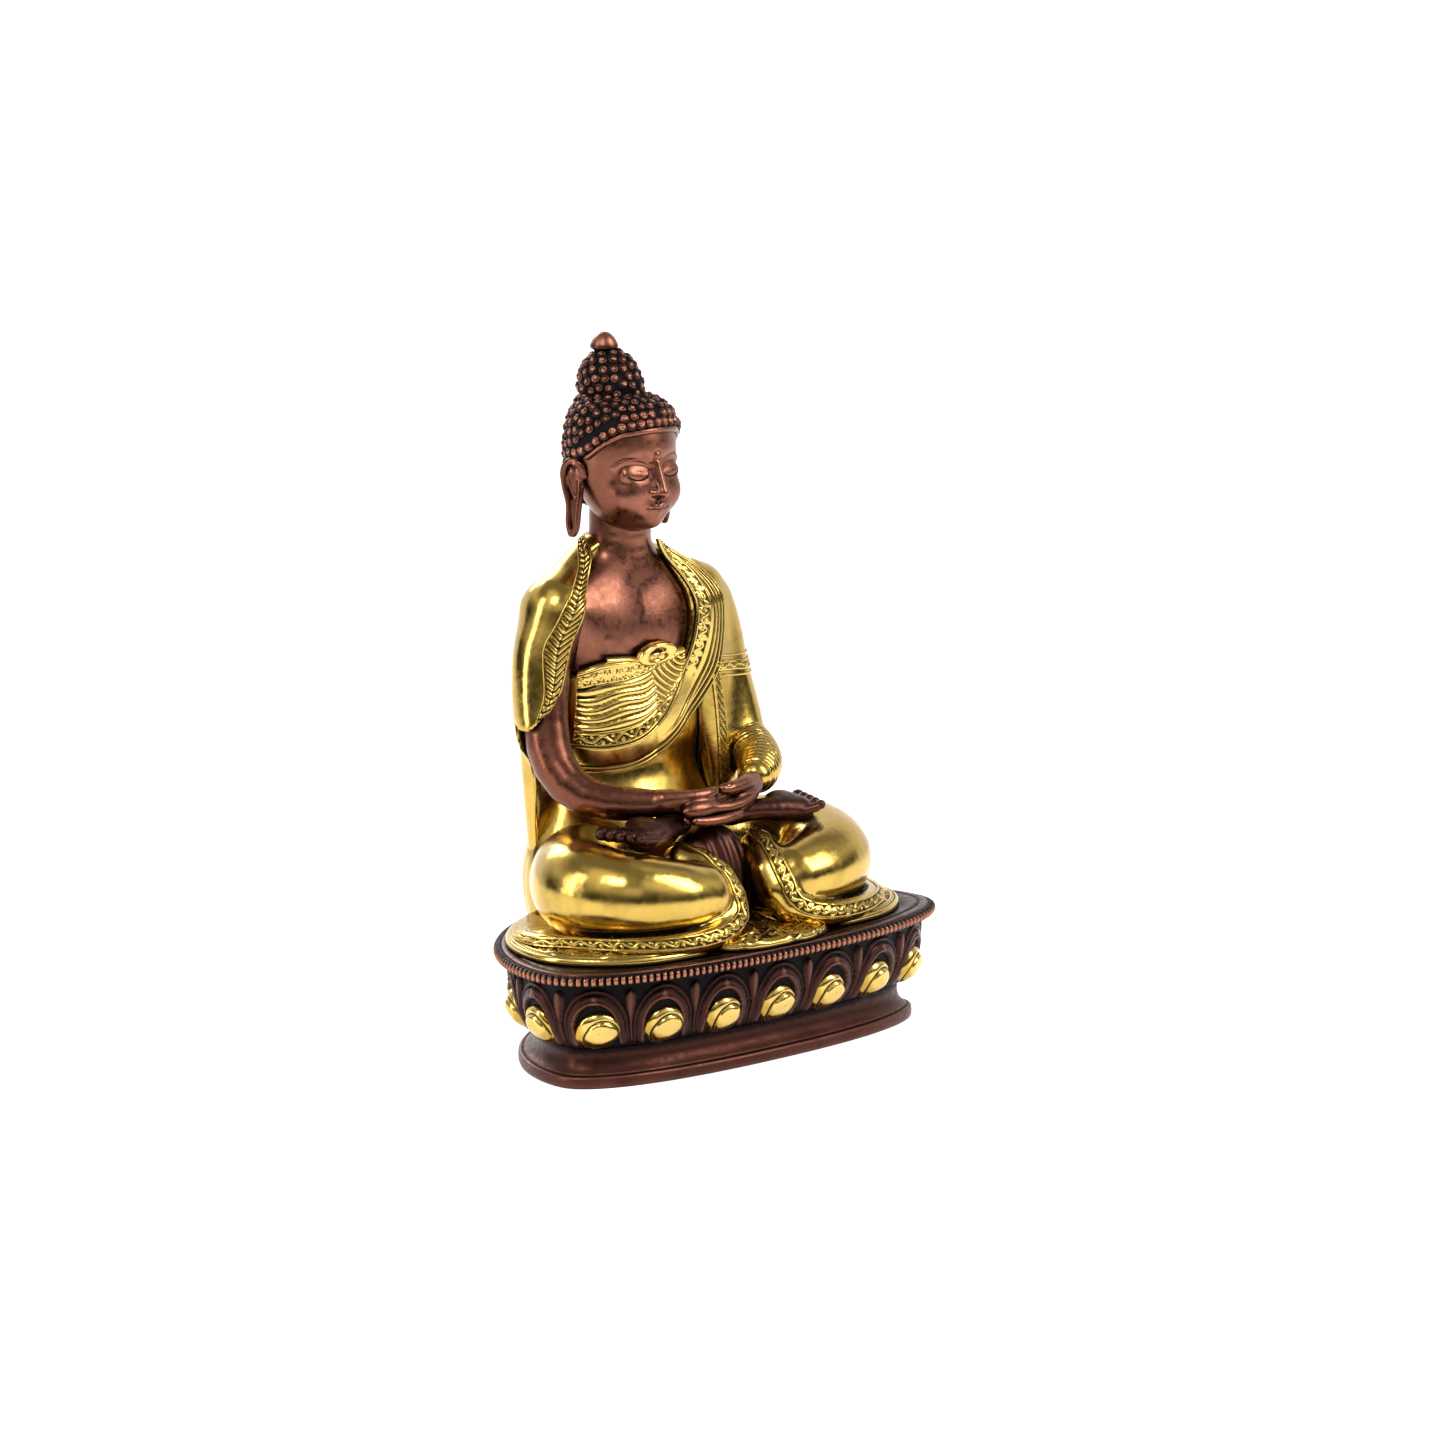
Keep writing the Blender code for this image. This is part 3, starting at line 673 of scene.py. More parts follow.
def polygon(x, z, outline):
    """Signed distance to a closed outline in the XZ plane, negative inside."""
    outline = np.asarray(outline, float)
    best = np.full(len(x), 1e9)
    inside = np.zeros(len(x), bool)
    for (ax, az), (bx, bz) in zip(outline, np.roll(outline, -1, axis=0)):
        ex, ez = bx - ax, bz - az
        h = np.clip(((x - ax) * ex + (z - az) * ez) / max(ex * ex + ez * ez, 1e-9), 0, 1)
        best = np.minimum(best, np.hypot(x - ax - h * ex, z - az - h * ez))
        crosses = (az > z) != (bz > z)
        inside ^= crosses & (x < ax + (z - az) * ex / (ez if ez else 1e-9))
    return np.where(inside, -best, best)


def in_front(p, outline, back):
    """The space seen through an outline from the front, as deep as back."""
    return np.maximum(polygon(p[:, 0], p[:, 2], outline), p[:, 1] - back)


def drop(field, points, level=0.0, start=-20.0):
    """Points of the front of a field at the given (x, z)."""
    points = np.asarray(points, float)
    p = np.stack([points[:, 0], np.full(len(points), start), points[:, 1]], 1)
    for _ in range(60):
        p[:, 1] += np.clip(field(p) - level, -2, 2) * 0.8
        p[:, 1] = np.minimum(p[:, 1], 36)
    return p


# ---- Figure: making pieces ------------------------------------------------------------------

def hollowness(p, normal, fields):
    """How closed in each point is, from how near the fields come above it; used as painted shade.
    """
    total = np.zeros(len(p))
    for reach, share in ((0.7, 0.45), (1.8, 0.35), (4.0, 0.2)):
        above = p + normal * reach
        nearest = np.min([field(above) for field in fields], axis=0)
        total += share * np.clip(1 - nearest / reach, 0, 1)
    return smoothstep(0.2, 0.85, total)


def outward(verts, quads, normal):
    """The quads, turned to face along the normals."""
    a = verts[quads[:, 2]] - verts[quads[:, 0]]
    b = verts[quads[:, 3]] - verts[quads[:, 1]]
    if (np.cross(a, b) * normal[quads[:, 0]]).sum() < 0:
        return quads[:, ::-1]
    return quads


def skin(name, field, box, step, material, nodes, near=(), relief=None, rounds=2,
         polish=0):
    """A piece skinned from a field, with painted shade where its own and near fields close in on
    it.
    """
    low, high = (np.array(corner, float) for corner in box)
    verts, quads = surface_nets(sample(field, low, high, step), low, step)
    verts = smooth_quads(verts, quads, rounds)
    near_surface = np.abs(field(verts)) < 2 * step
    verts[near_surface] = settle(field, verts[near_surface])
    verts = smooth_quads(verts, quads, polish)
    normal = unit(gradient(field, verts))
    # Painted shade: darker where fields close in above the surface
    dark = hollowness(verts, normal, (field, *near))
    tone = np.full(len(verts), 0.3)
    if relief is not None:
        height, ink, tone = relief(verts, normal)
        verts = verts + normal * np.reshape(height, (-1, 1))
        dark = np.maximum(dark, ink)
    quads = outward(verts, quads, normal)
    return finish_piece(new_mesh(name, verts, quads, material, dark, tone), nodes)


def laid(name, left, right, field, relief, material, slot, nodes=(), lift=0.4, step=0.38,
         near=()):
    """A closed band laid on a field between two edges.

    relief(s, t, width) gives lift, darkening and rubbed high spots at s along and t across, in mm;
    the darkening is patina in engraved lines, and painted shade in the pleats' troughs and the
    knot's slit.
    """
    left, right = (np.asarray(edge, float) for edge in (left, right))
    reach = [np.linalg.norm(np.diff(edge, axis=0), axis=1).sum() for edge in (left, right)]
    rows = max(5, round(max(reach) / step))
    left, right = spline(left, rows), spline(right, rows)
    columns = max(6, round(np.linalg.norm(right - left, axis=1).max() / step))
    share = np.linspace(0, 1, columns)[None, :, None]
    grid = left[:, None] * (1 - share) + right[:, None] * share
    flat = settle(field, grid.reshape(-1, 3), 5)
    normal = unit(gradient(field, flat))
    shade = 0.7 * hollowness(flat, normal, near).reshape(rows, columns) if near else 0.0
    grid, normal = flat.reshape(grid.shape), normal.reshape(grid.shape)
    middle = grid[:, columns // 2]
    s = np.r_[0, np.cumsum(np.linalg.norm(np.diff(middle, axis=0), axis=1))][:, None]
    t = np.linalg.norm(np.diff(grid, axis=1), axis=2).cumsum(1)
    t = np.concatenate([np.zeros((rows, 1)), t], 1)
    width = t[:, -1:]
    height, ink, shine = relief(s, t, width)
    edge = np.clip(np.minimum(t, width - t) / 0.55, 0, 1)
    round_off = np.sqrt(1 - (1 - edge) ** 2)
    top = grid + normal * (lift * round_off + height * np.minimum(edge, 1))[..., None]
    ends = [-1, 0]
    under = grid[:, ends] - normal[:, ends] * 0.6
    verts = np.concatenate([top, under], 1)
    dark = np.concatenate([np.maximum(ink + 0 * t, shade), np.ones((rows, 2))], 1)
    tone = np.concatenate([shine + 0 * t, np.zeros((rows, 2))], 1)
    verts = np.concatenate([0 * verts[:1] + verts[0].mean(0), verts,
                            0 * verts[:1] + verts[-1].mean(0)])
    dark = np.concatenate([dark[:1], dark, dark[-1:]])
    tone = np.concatenate([tone[:1], tone, tone[-1:]])
    around = np.concatenate([normal, -normal[:, ends]], 1)
    around = np.concatenate([around[:1], around, around[-1:]]).reshape(-1, 3)
    verts = verts.reshape(-1, 3)
    quads = outward(verts, grid_quads(rows + 2, columns + 2), around)
    return finish_piece(new_mesh(name, verts, quads, material, dark, tone), nodes)


def ribbon(name, path, half_width, field, relief, material, slot, **settings):
    """A band of even width along a path; half_width is a number or one a station."""
    path = np.asarray(path, float)
    width = np.broadcast_to(half_width, (len(path),))
    fine = spline(np.c_[path, width], max(12, 4 * len(path)))
    centre = settle(field, fine[:, :3], 5)
    normal = unit(gradient(field, centre))
    side = unit(np.cross(np.gradient(centre, axis=0), normal)) * fine[:, 3:]
    return laid(name, centre - side, centre + side, field, relief, material, slot, **settings)


# ---- Ornament -------------------------------------------------------------------------------

def vine(s, t, width, wave=6.4, border=1.0):
    """A running scroll between two raised border lines."""
    across = t - width / 2
    inner = np.maximum(width / 2 - border, 0.4)
    phase = 2 * np.pi * s / wave
    slope = 0.55 * inner * 2 * np.pi / wave * np.cos(phase)
    stem = bump((across - 0.55 * inner * np.sin(phase)) / np.sqrt(1 + slope ** 2), 0.42)
    half = wave / 2
    along = (s / half % 1 - 0.5) * half
    way = np.where(np.floor(s / half) % 2 < 1, 1.0, -1.0)
    radius = np.hypot(along, across + 0.40 * way * inner)
    curl = bump(radius - 0.42 * inner, 0.34) * smoothstep(-0.7, -0.3, along * way / inner)
    curl = curl * (inner > 1.8)
    raised = np.maximum(np.maximum(stem, curl), 0.9 * bump(radius, 0.3 + 0.12 * inner))
    raised = raised * smoothstep(inner + 0.3, inner, np.abs(across))
    line = bump(np.abs(across) - (width / 2 - 0.5), 0.32)
    raised = np.maximum(raised, line)
    return 0.5 * raised, 0.68 * (1 - smoothstep(0.1, 0.55, raised)), smoothstep(0.6, 1, raised)


def cord(s, t, width):
    """A plain rounded moulding."""
    share = np.clip(np.abs(2 * t / width - 1), 0, 1)
    dome = np.sqrt(1 - share ** 2)
    return 0.45 * width * dome, smoothstep(0.8, 1.0, share) * 0.8, smoothstep(0.6, 1, dome)


def leaves(s, t, width):
    """Slanting leaf strokes between border lines."""
    across = t - width / 2
    phase = (s + 0.9 * np.abs(across)) / 2.3
    stroke = np.abs(phase % 1 - 0.5) * 2
    raised = smoothstep(0.15, 0.7, stroke) * (0.6 + 0.4 * bump(across, width / 4))
    vein = bump(across, 0.25)
    inside = smoothstep(0, 0.3, width / 2 - 0.9 - np.abs(across))
    line = bump(np.abs(across) - (width / 2 - 0.45), 0.27)
    raised = np.maximum(raised * inside * (1 - vein), line)
    return 0.4 * raised, 0.75 * (1 - smoothstep(0.1, 0.6, raised)), smoothstep(0.6, 1, raised)


# ---- Body -----------------------------------------------------------------------------------

def right_arm(p):
    return limb(p, RIGHT_ARM)


CHEST_OPENING = [(-11, 160), (-23, 144), (-33, 130), (-33, 117), (14, 117), (16.5, 125),
                 (18, 133), (17, 140), (13.5, 147), (8, 160)]
SHAWL_EDGE = [(-12, 161), (-15, 154), (-25, 141.5), (-30.5, 130), (-33, 123.5), (-36.8, 114.5),
              (-43, 107.5), (-48, 100.5)]
SASH_INNER = [(7.5, 157), (13.8, 146.5), (17, 139.5), (17.9, 133.5), (16.2, 124), (13.2, 116.5),
              (7.8, 108.5), (1.5, 101.5), (-7.2, 96.5), (-17.8, 94.8), (-27.5, 95.5)]
SASH_OUTER = [(17, 152), (25, 145), (29.5, 135), (29, 125), (26.5, 115), (21.5, 106.5),
              (15.5, 99.5), (8, 93), (-1, 88.3), (-12, 85.2), (-27, 85.5)]


def covered(p):
    """Trunk and left shoulder as the cloth covers them, without the opening."""
    return join(torso(p) - CLOTH, sleeve(p), 9)


def gown(p):
    """The cloth over the trunk, down to the seat."""
    body = torso(p) - CLOTH
    body = cut(body, 153 + 0.3 * (p[:, 1] - 30) - p[:, 2], 1.0)
    return cut(body, in_front(p, CHEST_OPENING, 33), 0.5)


def drape(p):
    """Cloth falling from the left arm in front of the belly's side."""
    return limb(p, [(26, 23, 134, 6.5), (26.5, 22, 120, 7.2), (27, 21, 106, 7.4),
                    (28, 19.5, 93, 7.0), (28.5, 18, 83, 6.4), (28.5, 17, 74, 6.0)])


def sleeve(p):
    """The left sleeve, open over the forearm."""
    upper = limb(p, [(22, 31, 139.5, 9.4), (30.5, 29.8, 135.5, 10.4), (34.8, 29, 124, 10.9),
                     (36.6, 27.5, 111, 11.0), (38.2, 24, 98, 10.9), (38.6, 21.0, 91, 10.2)])
    hip = limb(p, [(35, 27, 94, 8), (33, 27.5, 82, 8.6), (31, 28, 68, 8.6), (29, 28.5, 54, 8.4)])
    upper = join(join(upper, drape(p), 5), hip, 4)
    mouth = ellipsoid(p, (36.5, 7, 86.5), (7.5, 9.5, 5.6))
    return cut(upper, mouth, 1.2)


def shawl(p):
    """The cloak over the right shoulder and the outside of the arm."""
    body = limb(p, RIGHT_ARM[:4] + np.array([-0.6, 0.8, 0, 2.0]))
    body = join(body, cone(p, (-9, 35, 151), (-26, 31.5, 139), 8.2, 9.6), 7)
    back = limb(p, [(-28, 36, 136, 8), (-32, 36, 115, 7.6), (-31.5, 34.5, 95, 7.4),
                    (-31, 32, 76, 8), (-30, 30, 56, 8.4)])
    body = join(body, back, 5)
    edge = SHAWL_EDGE + [(-62, 92), (-62, 40), (14, 40), (14, 166), (-10, 166)]
    return cut(body, in_front(p, edge, 30), 1.2)


def collar_back(p):
    """The robe's roll behind the neck."""
    return limb(p, [(-11.5, 37, 154.5, 1.6), (-7, 41, 156, 2.0), (0, 42.4, 156, 2.2),
                    (7, 41, 155, 2.0), (11.5, 37, 152.5, 1.6)])


def robe(p):
    body = join(gown(p), collar_back(p), 3)
    lower = ellipsoid(p, (0, 27, 52), (40, 21.5, 30))
    return join(body, lower, 12)


def chest_relief(p, normal):
    """A ringed nipple on each side and soft lines round the neck."""
    # Painted highlight: the upper chest is lighter where it faces the front
    tone = 0.2 + 0.4 * smoothstep(0.4, 0.9, -normal[:, 1]) * smoothstep(112, 130, p[:, 2])
    rings = np.zeros(len(p))
    for x in (-16.5, 16.5):
        radius = np.linalg.norm(p - drop(torso, [(x, 127.5)]), axis=1)
        rings = np.maximum(rings, bump(radius - 1.15, 0.32))
        rings = np.maximum(rings, 0.9 * bump(radius, 0.5))
    line = neck_lines(p)
    return 0.35 * rings + line - 0.1, 0.25 * rings, tone


def back_folds(p, normal):
    """Long soft folds down the robe's back, fading out towards the front."""
    behind = smoothstep(0.25, 0.8, normal[:, 1]) * smoothstep(150, 140, p[:, 2])
    slant = p[:, 0] + 0.28 * (p[:, 2] - 90) + 2.5 * np.sin(p[:, 2] * 0.06)
    wave = np.abs((slant / 7.5) % 1 - 0.5) * 2
    crease = bump(wave, 0.16) * behind
    swell = 0.5 * np.sin(np.pi * wave) * behind
    return swell - 0.55 * crease, 0.75 * crease, 0.3 + 0.4 * swell


def torso_piece():
    skin("bust", torso, ((-38, 8, 88), (38, 50, 170)), 0.8, SKIN, ["torso"],
         near=(right_arm, gown), relief=chest_relief, polish=2)


def arm_piece():
    skin("right_arm_skin", right_arm, ((-52, -14, 70), (-10, 42, 146)), 0.7, SKIN,
         ["right_arm"], near=(torso, shawl), polish=5)


def robe_piece():
    skin("robe", robe, ((-46, 2, 39), (46, 54, 162)), 0.9, BRASS,
         ["robe_body", "waist_wrap"], near=(right_arm, sleeve, legs), relief=back_folds,
         polish=3)


def sleeve_piece():
    skin("sleeve", sleeve, ((12, 2, 46), (54, 46, 151)), 0.75, BRASS,
         ["left_sleeve"], near=(gown,), polish=6)


def shawl_piece():
    skin("shawl", shawl, ((-58, 12, 46), (2, 54, 164)), 0.8, BRASS,
         ["shawl_right"], near=(right_arm, torso), polish=4)


# ---- Legs and seat --------------------------------------------------------------------------

# The robe's edge falling from the shin and sweeping back under the knee, left side
CASCADE = [(17, -14, 61, 6.0), (13, -22, 57.5, 6.8), (11.5, -29, 50.5, 6.6),
           (14.5, -34, 44.5, 5.2), (25, -37.5, 42.4, 4.2), (40, -36, 41.8, 3.8),
           (54, -27.5, 41.6, 3.6), (62, -14, 41.4, 3.4), (66, -2, 41.2, 3.2), (63, 9, 40.6, 2.8)]


def legs(p):
    q = fold(p)
    shape = limb(q, mirror(LEG), 34)
    shape = join(shape, ellipsoid(q, (14, 24, 46), (24, 20, 16)), 6)
    return join(shape, limb(q, CASCADE, 18), 1.2)


def legs_piece():
    skin("legs", legs, ((-72, -46, 38), (72, 46, 74)), 0.8, BRASS,
         ["right_leg", "left_leg"], near=(right_arm, robe), polish=7)


# ---- Head -----------------------------------------------------------------------------------

CHIN_Z = head_low[2]
HEAD = np.array([(-0.6, 26.2, 4.0, 4.0), (1.8, 26.8, 9, 8.4), (6.3, 27.8, 13, 12.2),
                 (12.8, 29.4, 15.8, 15), (20.8, 30.7, 17.1, 16.3), (28.8, 31, 17.1, 16.4),
                 (35.3, 31.4, 15.4, 14.9), (39.8, 32, 11.4, 11.4), (42.6, 32.4, 4, 4)])
HEAD[:, 0] += CHIN_Z
HEAD_TOP = HEAD[-1, 0]
HALF_FACE = HEAD[4, 2]
HEAD = spline(HEAD, 240)
FACE_HEIGHT = 33.4
HAIRLINE_Z = CHIN_Z + FACE_HEIGHT
# The face in thirds: hairline to brow, brow to nose base, nose base to chin
THIRD = (HAIRLINE_Z - CHIN_Z) / 3
BROW_Z = CHIN_Z + 2 * THIRD
NOSE_Z = CHIN_Z + THIRD
MOUTH_Z = NOSE_Z - THIRD / 3
EYE_Z = BROW_Z - THIRD / 3
# The face is five eyes wide
EYE = 2 * HALF_FACE / 5


def skull(p):
    """The head, closed above and below."""
    body = stack(p, HEAD)
    z = p[:, 2]
    return np.maximum(body, np.maximum(CHIN_Z - 0.6 - z, z - HEAD_TOP))


@functools.cache
def on_face(x, z, out=0.0):
    """A point on the front of the head, or out from it."""
    return drop(skull, [(x, z)])[0] - np.array([0, out, 0])


def face(p):
    q = fold(p)
    shape = join(skull(p), ellipsoid(q, on_face(EYE * 1.1, NOSE_Z + 0.5, -3.5), (5.6, 4.2, 5.2)),
                 4)
    socket = on_face(EYE * 1.02, EYE_Z + 2.3, 1.5)
    shape = cut(shape, ellipsoid(q, socket, (EYE * 0.78, 2.4, 2.8)), 3.2)
    lid = on_face(EYE, EYE_Z + 0.1, -2.3)
    shape = join(shape, ellipsoid(q, lid, (EYE * 0.70, 2.1, 2.2)), 1.8)
    bridge, tip = on_face(0, BROW_Z - 0.5, -0.8), on_face(0, NOSE_Z + 1.9, 2.3)
    shape = join(shape, cone(p, bridge, tip, 1.35, 1.75), 2.0)
    shape = join(shape, ellipsoid(p, tip + (0, 0.2, -0.3), (2.0, 1.9, 1.7)), 0.9)
    shape = join(shape, ellipsoid(q, on_face(2.0, NOSE_Z + 1.4, 0.15), (1.35, 1.6, 1.2)), 1.1)
    shape = join(shape, ellipsoid(p, on_face(0, MOUTH_Z, -1.6), (6.2, 2.7, 4.2)), 2)
    corner, peak = on_face(EYE * 0.68, MOUTH_Z + 0.35, -0.5), on_face(0, MOUTH_Z + 0.65, 0.95)
    shoulder = on_face(1.4, MOUTH_Z + 0.9, 0.75)
    shape = join(shape, cone(q, corner, shoulder, 0.4, 0.75), 1.0)
    shape = join(shape, cone(q, shoulder, peak, 0.75, 0.7), 1.0)
    under = on_face(0, MOUTH_Z - 1.1, 0.75)
    lower_corner = on_face(EYE * 0.5, MOUTH_Z - 0.5, 0.0)
    shape = join(shape, cone(q, lower_corner, under, 0.5, 1.0), 1.0)
    return join(shape, ellipsoid(p, on_face(0, CHIN_Z + 3.4, -1.6), (4.6, 3.0, 2.8)), 2.5)


def face_relief(p, normal):
    """Brows, closed lids, the parting of the lips and a round mark between the brows."""
    q = fold(p)
    front = smoothstep(0.1, 0.4, -normal[:, 1])

    def arc(points, width, height):
        path = np.array([on_face(*point) for point in points])
        d = path_distance(np.c_[q[:, 0], 0 * q[:, 1], q[:, 2]], spline(path * (1, 0, 1), 14))
        return height * bump(d, width) * front

    brow = arc([(EYE * 0.28, BROW_Z - 0.7), (EYE * 0.95, BROW_Z + 1.3), (EYE * 1.6, BROW_Z + 0.9),
                (EYE * 1.95, BROW_Z - 1.2)], 0.42, 0.42)
    across = np.linspace(-1, 1, 7)
    bow = 1 - across ** 2
    eye_x = EYE * (1.02 + 0.54 * across)
    lid = arc(list(zip(eye_x, EYE_Z - 0.3 - 1.25 * bow + 0.1 * across)), 0.34, 1.0)
    crease = arc(list(zip(eye_x, EYE_Z + 0.5 + 1.25 * bow)), 0.30, 0.5)
    lips = arc([(0, MOUTH_Z - 0.1), (EYE * 0.35, MOUTH_Z + 0.05), (EYE * 0.68, MOUTH_Z + 0.5)],
               0.26, 0.9)
    nostril = arc([(1.0, NOSE_Z + 0.55), (1.9, NOSE_Z + 0.6)], 0.34, 0.6)
    groove = arc([(0, NOSE_Z - 0.5), (0, MOUTH_Z + 1.9)], 0.6, 0.22)
    mark = np.linalg.norm(p - on_face(0, BROW_Z + 2.3), axis=1)
    dot = 0.55 * np.sqrt(np.clip(1 - (mark / 1.15) ** 2, 0, 1)) - 0.25 * bump(mark - 1.4, 0.3)
    ink = np.clip(0.95 * lid + 0.7 * crease + 0.95 * lips + nostril + 0.55 * bump(mark - 1.4, 0.3),
                  0, 0.95)
    height = brow + dot - 0.30 * lid - 0.3 * crease - 0.25 * lips - 0.3 * nostril - groove
    # Painted highlight: surfaces facing the front are lighter; the raised brows are lighter too
    tone = 0.35 + 0.5 * smoothstep(0.3, 0.9, -normal[:, 1]) + 0.6 * brow
    return height, ink * front, tone


def face_piece():
    high_z = HAIRLINE_Z + 6
    skin("face", face, ((-21, 6, CHIN_Z - 2), (21, 50, high_z)), 0.42, SKIN,
         ["head"], near=(torso, hair), relief=face_relief, rounds=2)


# ---- Ears -----------------------------------------------------------------------------------

EAR_LOOP = [(17.0, 30.0, 179), (17.9, 30.8, 182.3), (18.9, 34.4, 183.6), (19.4, 37.3, 180.5),
            (19.2, 37.0, 175.5), (19.0, 35.2, 169.5), (19.4, 34.9, 164), (19.6, 33.4, 160.2),
            (19.3, 31.6, 162.5), (18.9, 31.2, 168), (18.2, 31.0, 173.5), (17.4, 31.6, 177)]


def ear(p):
    """A long ear on the figure's left: rim, hollow and slit lobe."""
    rim = limb(p, [(*point, 1.15) for point in EAR_LOOP], 40)
    shell = ellipsoid(p, (17.6, 33.8, 177.2), (1.25, 3.4, 6.2))
    fold_in = limb(p, [(18.3, 34.9, 181, 0.7), (18.6, 35.6, 177.5, 0.8), (18.2, 33.8, 173, 0.8)])
    tragus = ellipsoid(p, (17.5, 31.2, 176.2), (1.3, 1.3, 1.9))
    web = ellipsoid(p, (18.5, 33.2, 166.5), (0.7, 1.8, 6.5))
    shape = join(join(rim, shell, 0.6), join(fold_in, tragus, 0.4), 0.5)
    return join(shape, web, 0.4)


def ears():
    for side, node in ((1, "left_ear"), (-1, "right_ear")):
        def field(p, side=side):
            return ear(p * (side, 1, 1))
        box = ((14, 26, 157), (22.5, 41, 187)) if side > 0 else ((-22.5, 26, 157), (-14, 41, 187))
        skin(node + "_form", field, box, 0.33, SKIN, [node], near=(skull, torso))


# ---- Hair -----------------------------------------------------------------------------------

# How far the hair stands off the skull
HAIR = 1.5
# Middle and radii of the crown bump
USHNISHA = ((0, 37.4, 206.0), (9.6, 9.6, 10.8))
FINIAL = (0, 39.6, 218.0)


def hairline(y):
    """Height of the hair's edge round the head, from how far back it is."""
    return np.interp(y, [15, 19, 23, 27, 31, 35, 39, 43],
                     np.array([0, -1.2, -4, -7.5, -9.5, -17, -25, -29]) + HAIRLINE_Z)


def hair_surface(p):
    """The cap and the crown bump, without the hairline."""
    return join(skull(p) - HAIR, ellipsoid(p, *USHNISHA), 5.5)


def hair(p):
    return np.maximum(hair_surface(p), (hairline(p[:, 1]) - p[:, 2]) * 0.8)


def around_head(turn, lift_z, field):
    """Points on a field at angles round the head, lift_z above the hairline."""
    away = np.stack([np.sin(turn), -np.cos(turn), 0 * turn], 1)
    z = np.full(len(turn), HAIRLINE_Z)
    for _ in range(6):
        p = np.c_[0 * turn, 0 * turn + 31, z + lift_z] + 27 * away
        for _ in range(25):
            p = p - away * np.clip(field(p), -2, 2)[:, None] * 0.9
        z = hairline(p[:, 1])
    return p


CURL_HEIGHT = 1.45


def curl_places():
    """Middles of the curls: rows that follow the hairline, then fillers between them."""
    turn = np.linspace(-math.pi, math.pi, 720)
    picked = np.zeros((0, 3))
    front = []

    def take(points, space, kind):
        nonlocal picked
        for point in points:
            if not len(picked) or np.linalg.norm(picked - point, axis=1).min() > space:
                picked = np.vstack([picked, point])
                front.append(kind)

    for row in range(4):
        ring = around_head(turn, 1.6 + 2.8 * row, hair_surface)
        ring = ring[np.abs(hair_surface(ring)) < 0.2]
        take(ring[np.argsort(np.abs(ring[:, 0]), kind="stable")], 3.05, float(row < 2))
    low, step = np.array([-22.0, 10, 160]), 0.55
    dense, _ = surface_nets(sample(hair_surface, low, (22, 52, 218), step), low, step)
    above = dense[:, 2] - hairline(dense[:, 1])
    dense, above = dense[above > 1.4], above[above > 1.4]
    order = np.lexsort((np.arctan2(dense[:, 0], dense[:, 1] - 34), np.round(above / 1.4)))
    take(dense[order], 2.95, 0.0)
    clear = np.linalg.norm(picked - FINIAL, axis=1) > 4.0
    return picked[clear], np.array(front)[clear]


def curls():
    """Snail curls, each a small dome with a coiled groove, in one casting."""
    places, front = curl_places()
    places = settle(hair_surface, places)
    normal = unit(gradient(hair_surface, places))
    rows, columns = 7, 14
    radius = np.linspace(1, 0.02, rows)[:, None]
    angle = np.linspace(0, 2 * np.pi, columns, endpoint=False)[None]
    coil = (radius * 2.1 - angle / (2 * np.pi)) % 1
    groove = bump(coil - 0.5, 0.24) * smoothstep(0.2, 0.35, radius) * smoothstep(1, 0.8, radius)
    height = CURL_HEIGHT * np.sqrt(np.clip(1 - radius ** 2, 0, 1)) - 0.42 * groove
    height = height * np.ones_like(angle)
    dark = np.maximum(0.9 * groove, smoothstep(0.72, 0.98, radius)) + 0 * angle
    tone = smoothstep(0.55, 1.0, height / CURL_HEIGHT)
    verts, darks, tones = [], [], []
    for place, out, lit_row in zip(places, normal, front):
        side = unit(np.cross(out, (0.3, 0.2, 1)))
        up = np.cross(side, out)
        spin = rng.uniform(0, 2 * np.pi)
        flip = 1 if place[0] > 0 else -1
        size = 1.78 * rng.uniform(0.95, 1.06)
        across = (radius * size * np.cos(flip * angle + spin))[..., None] * side
        rise = (radius * size * np.sin(flip * angle + spin))[..., None] * up
        verts.append(place - 0.25 * out + across + rise + height[..., None] * out)
        # Painted highlight on the two rows along the hairline; the curls above them are painted
        # darker as shade
        darks.append(dark * (1 - 0.25 * lit_row) + 0.1 * (1 - lit_row))
        tones.append(np.clip(tone * rng.uniform(0.35, 1.0) + 0.35 * lit_row * tone, 0, 1))
    one = grid_quads(rows, columns)
    quads = np.concatenate([one + i * rows * columns for i in range(len(places))])
    verts = np.array(verts)
    turned = places[:, 0] <= 0
    quads = quads.reshape(len(places), -1, 4)
    quads[turned] = quads[turned][..., ::-1]
    piece = new_mesh("curls", verts.reshape(-1, 3), quads.reshape(-1, 4), HAIR_METAL,
                     np.array(darks), np.array(tones))
    finish_piece(piece, [])


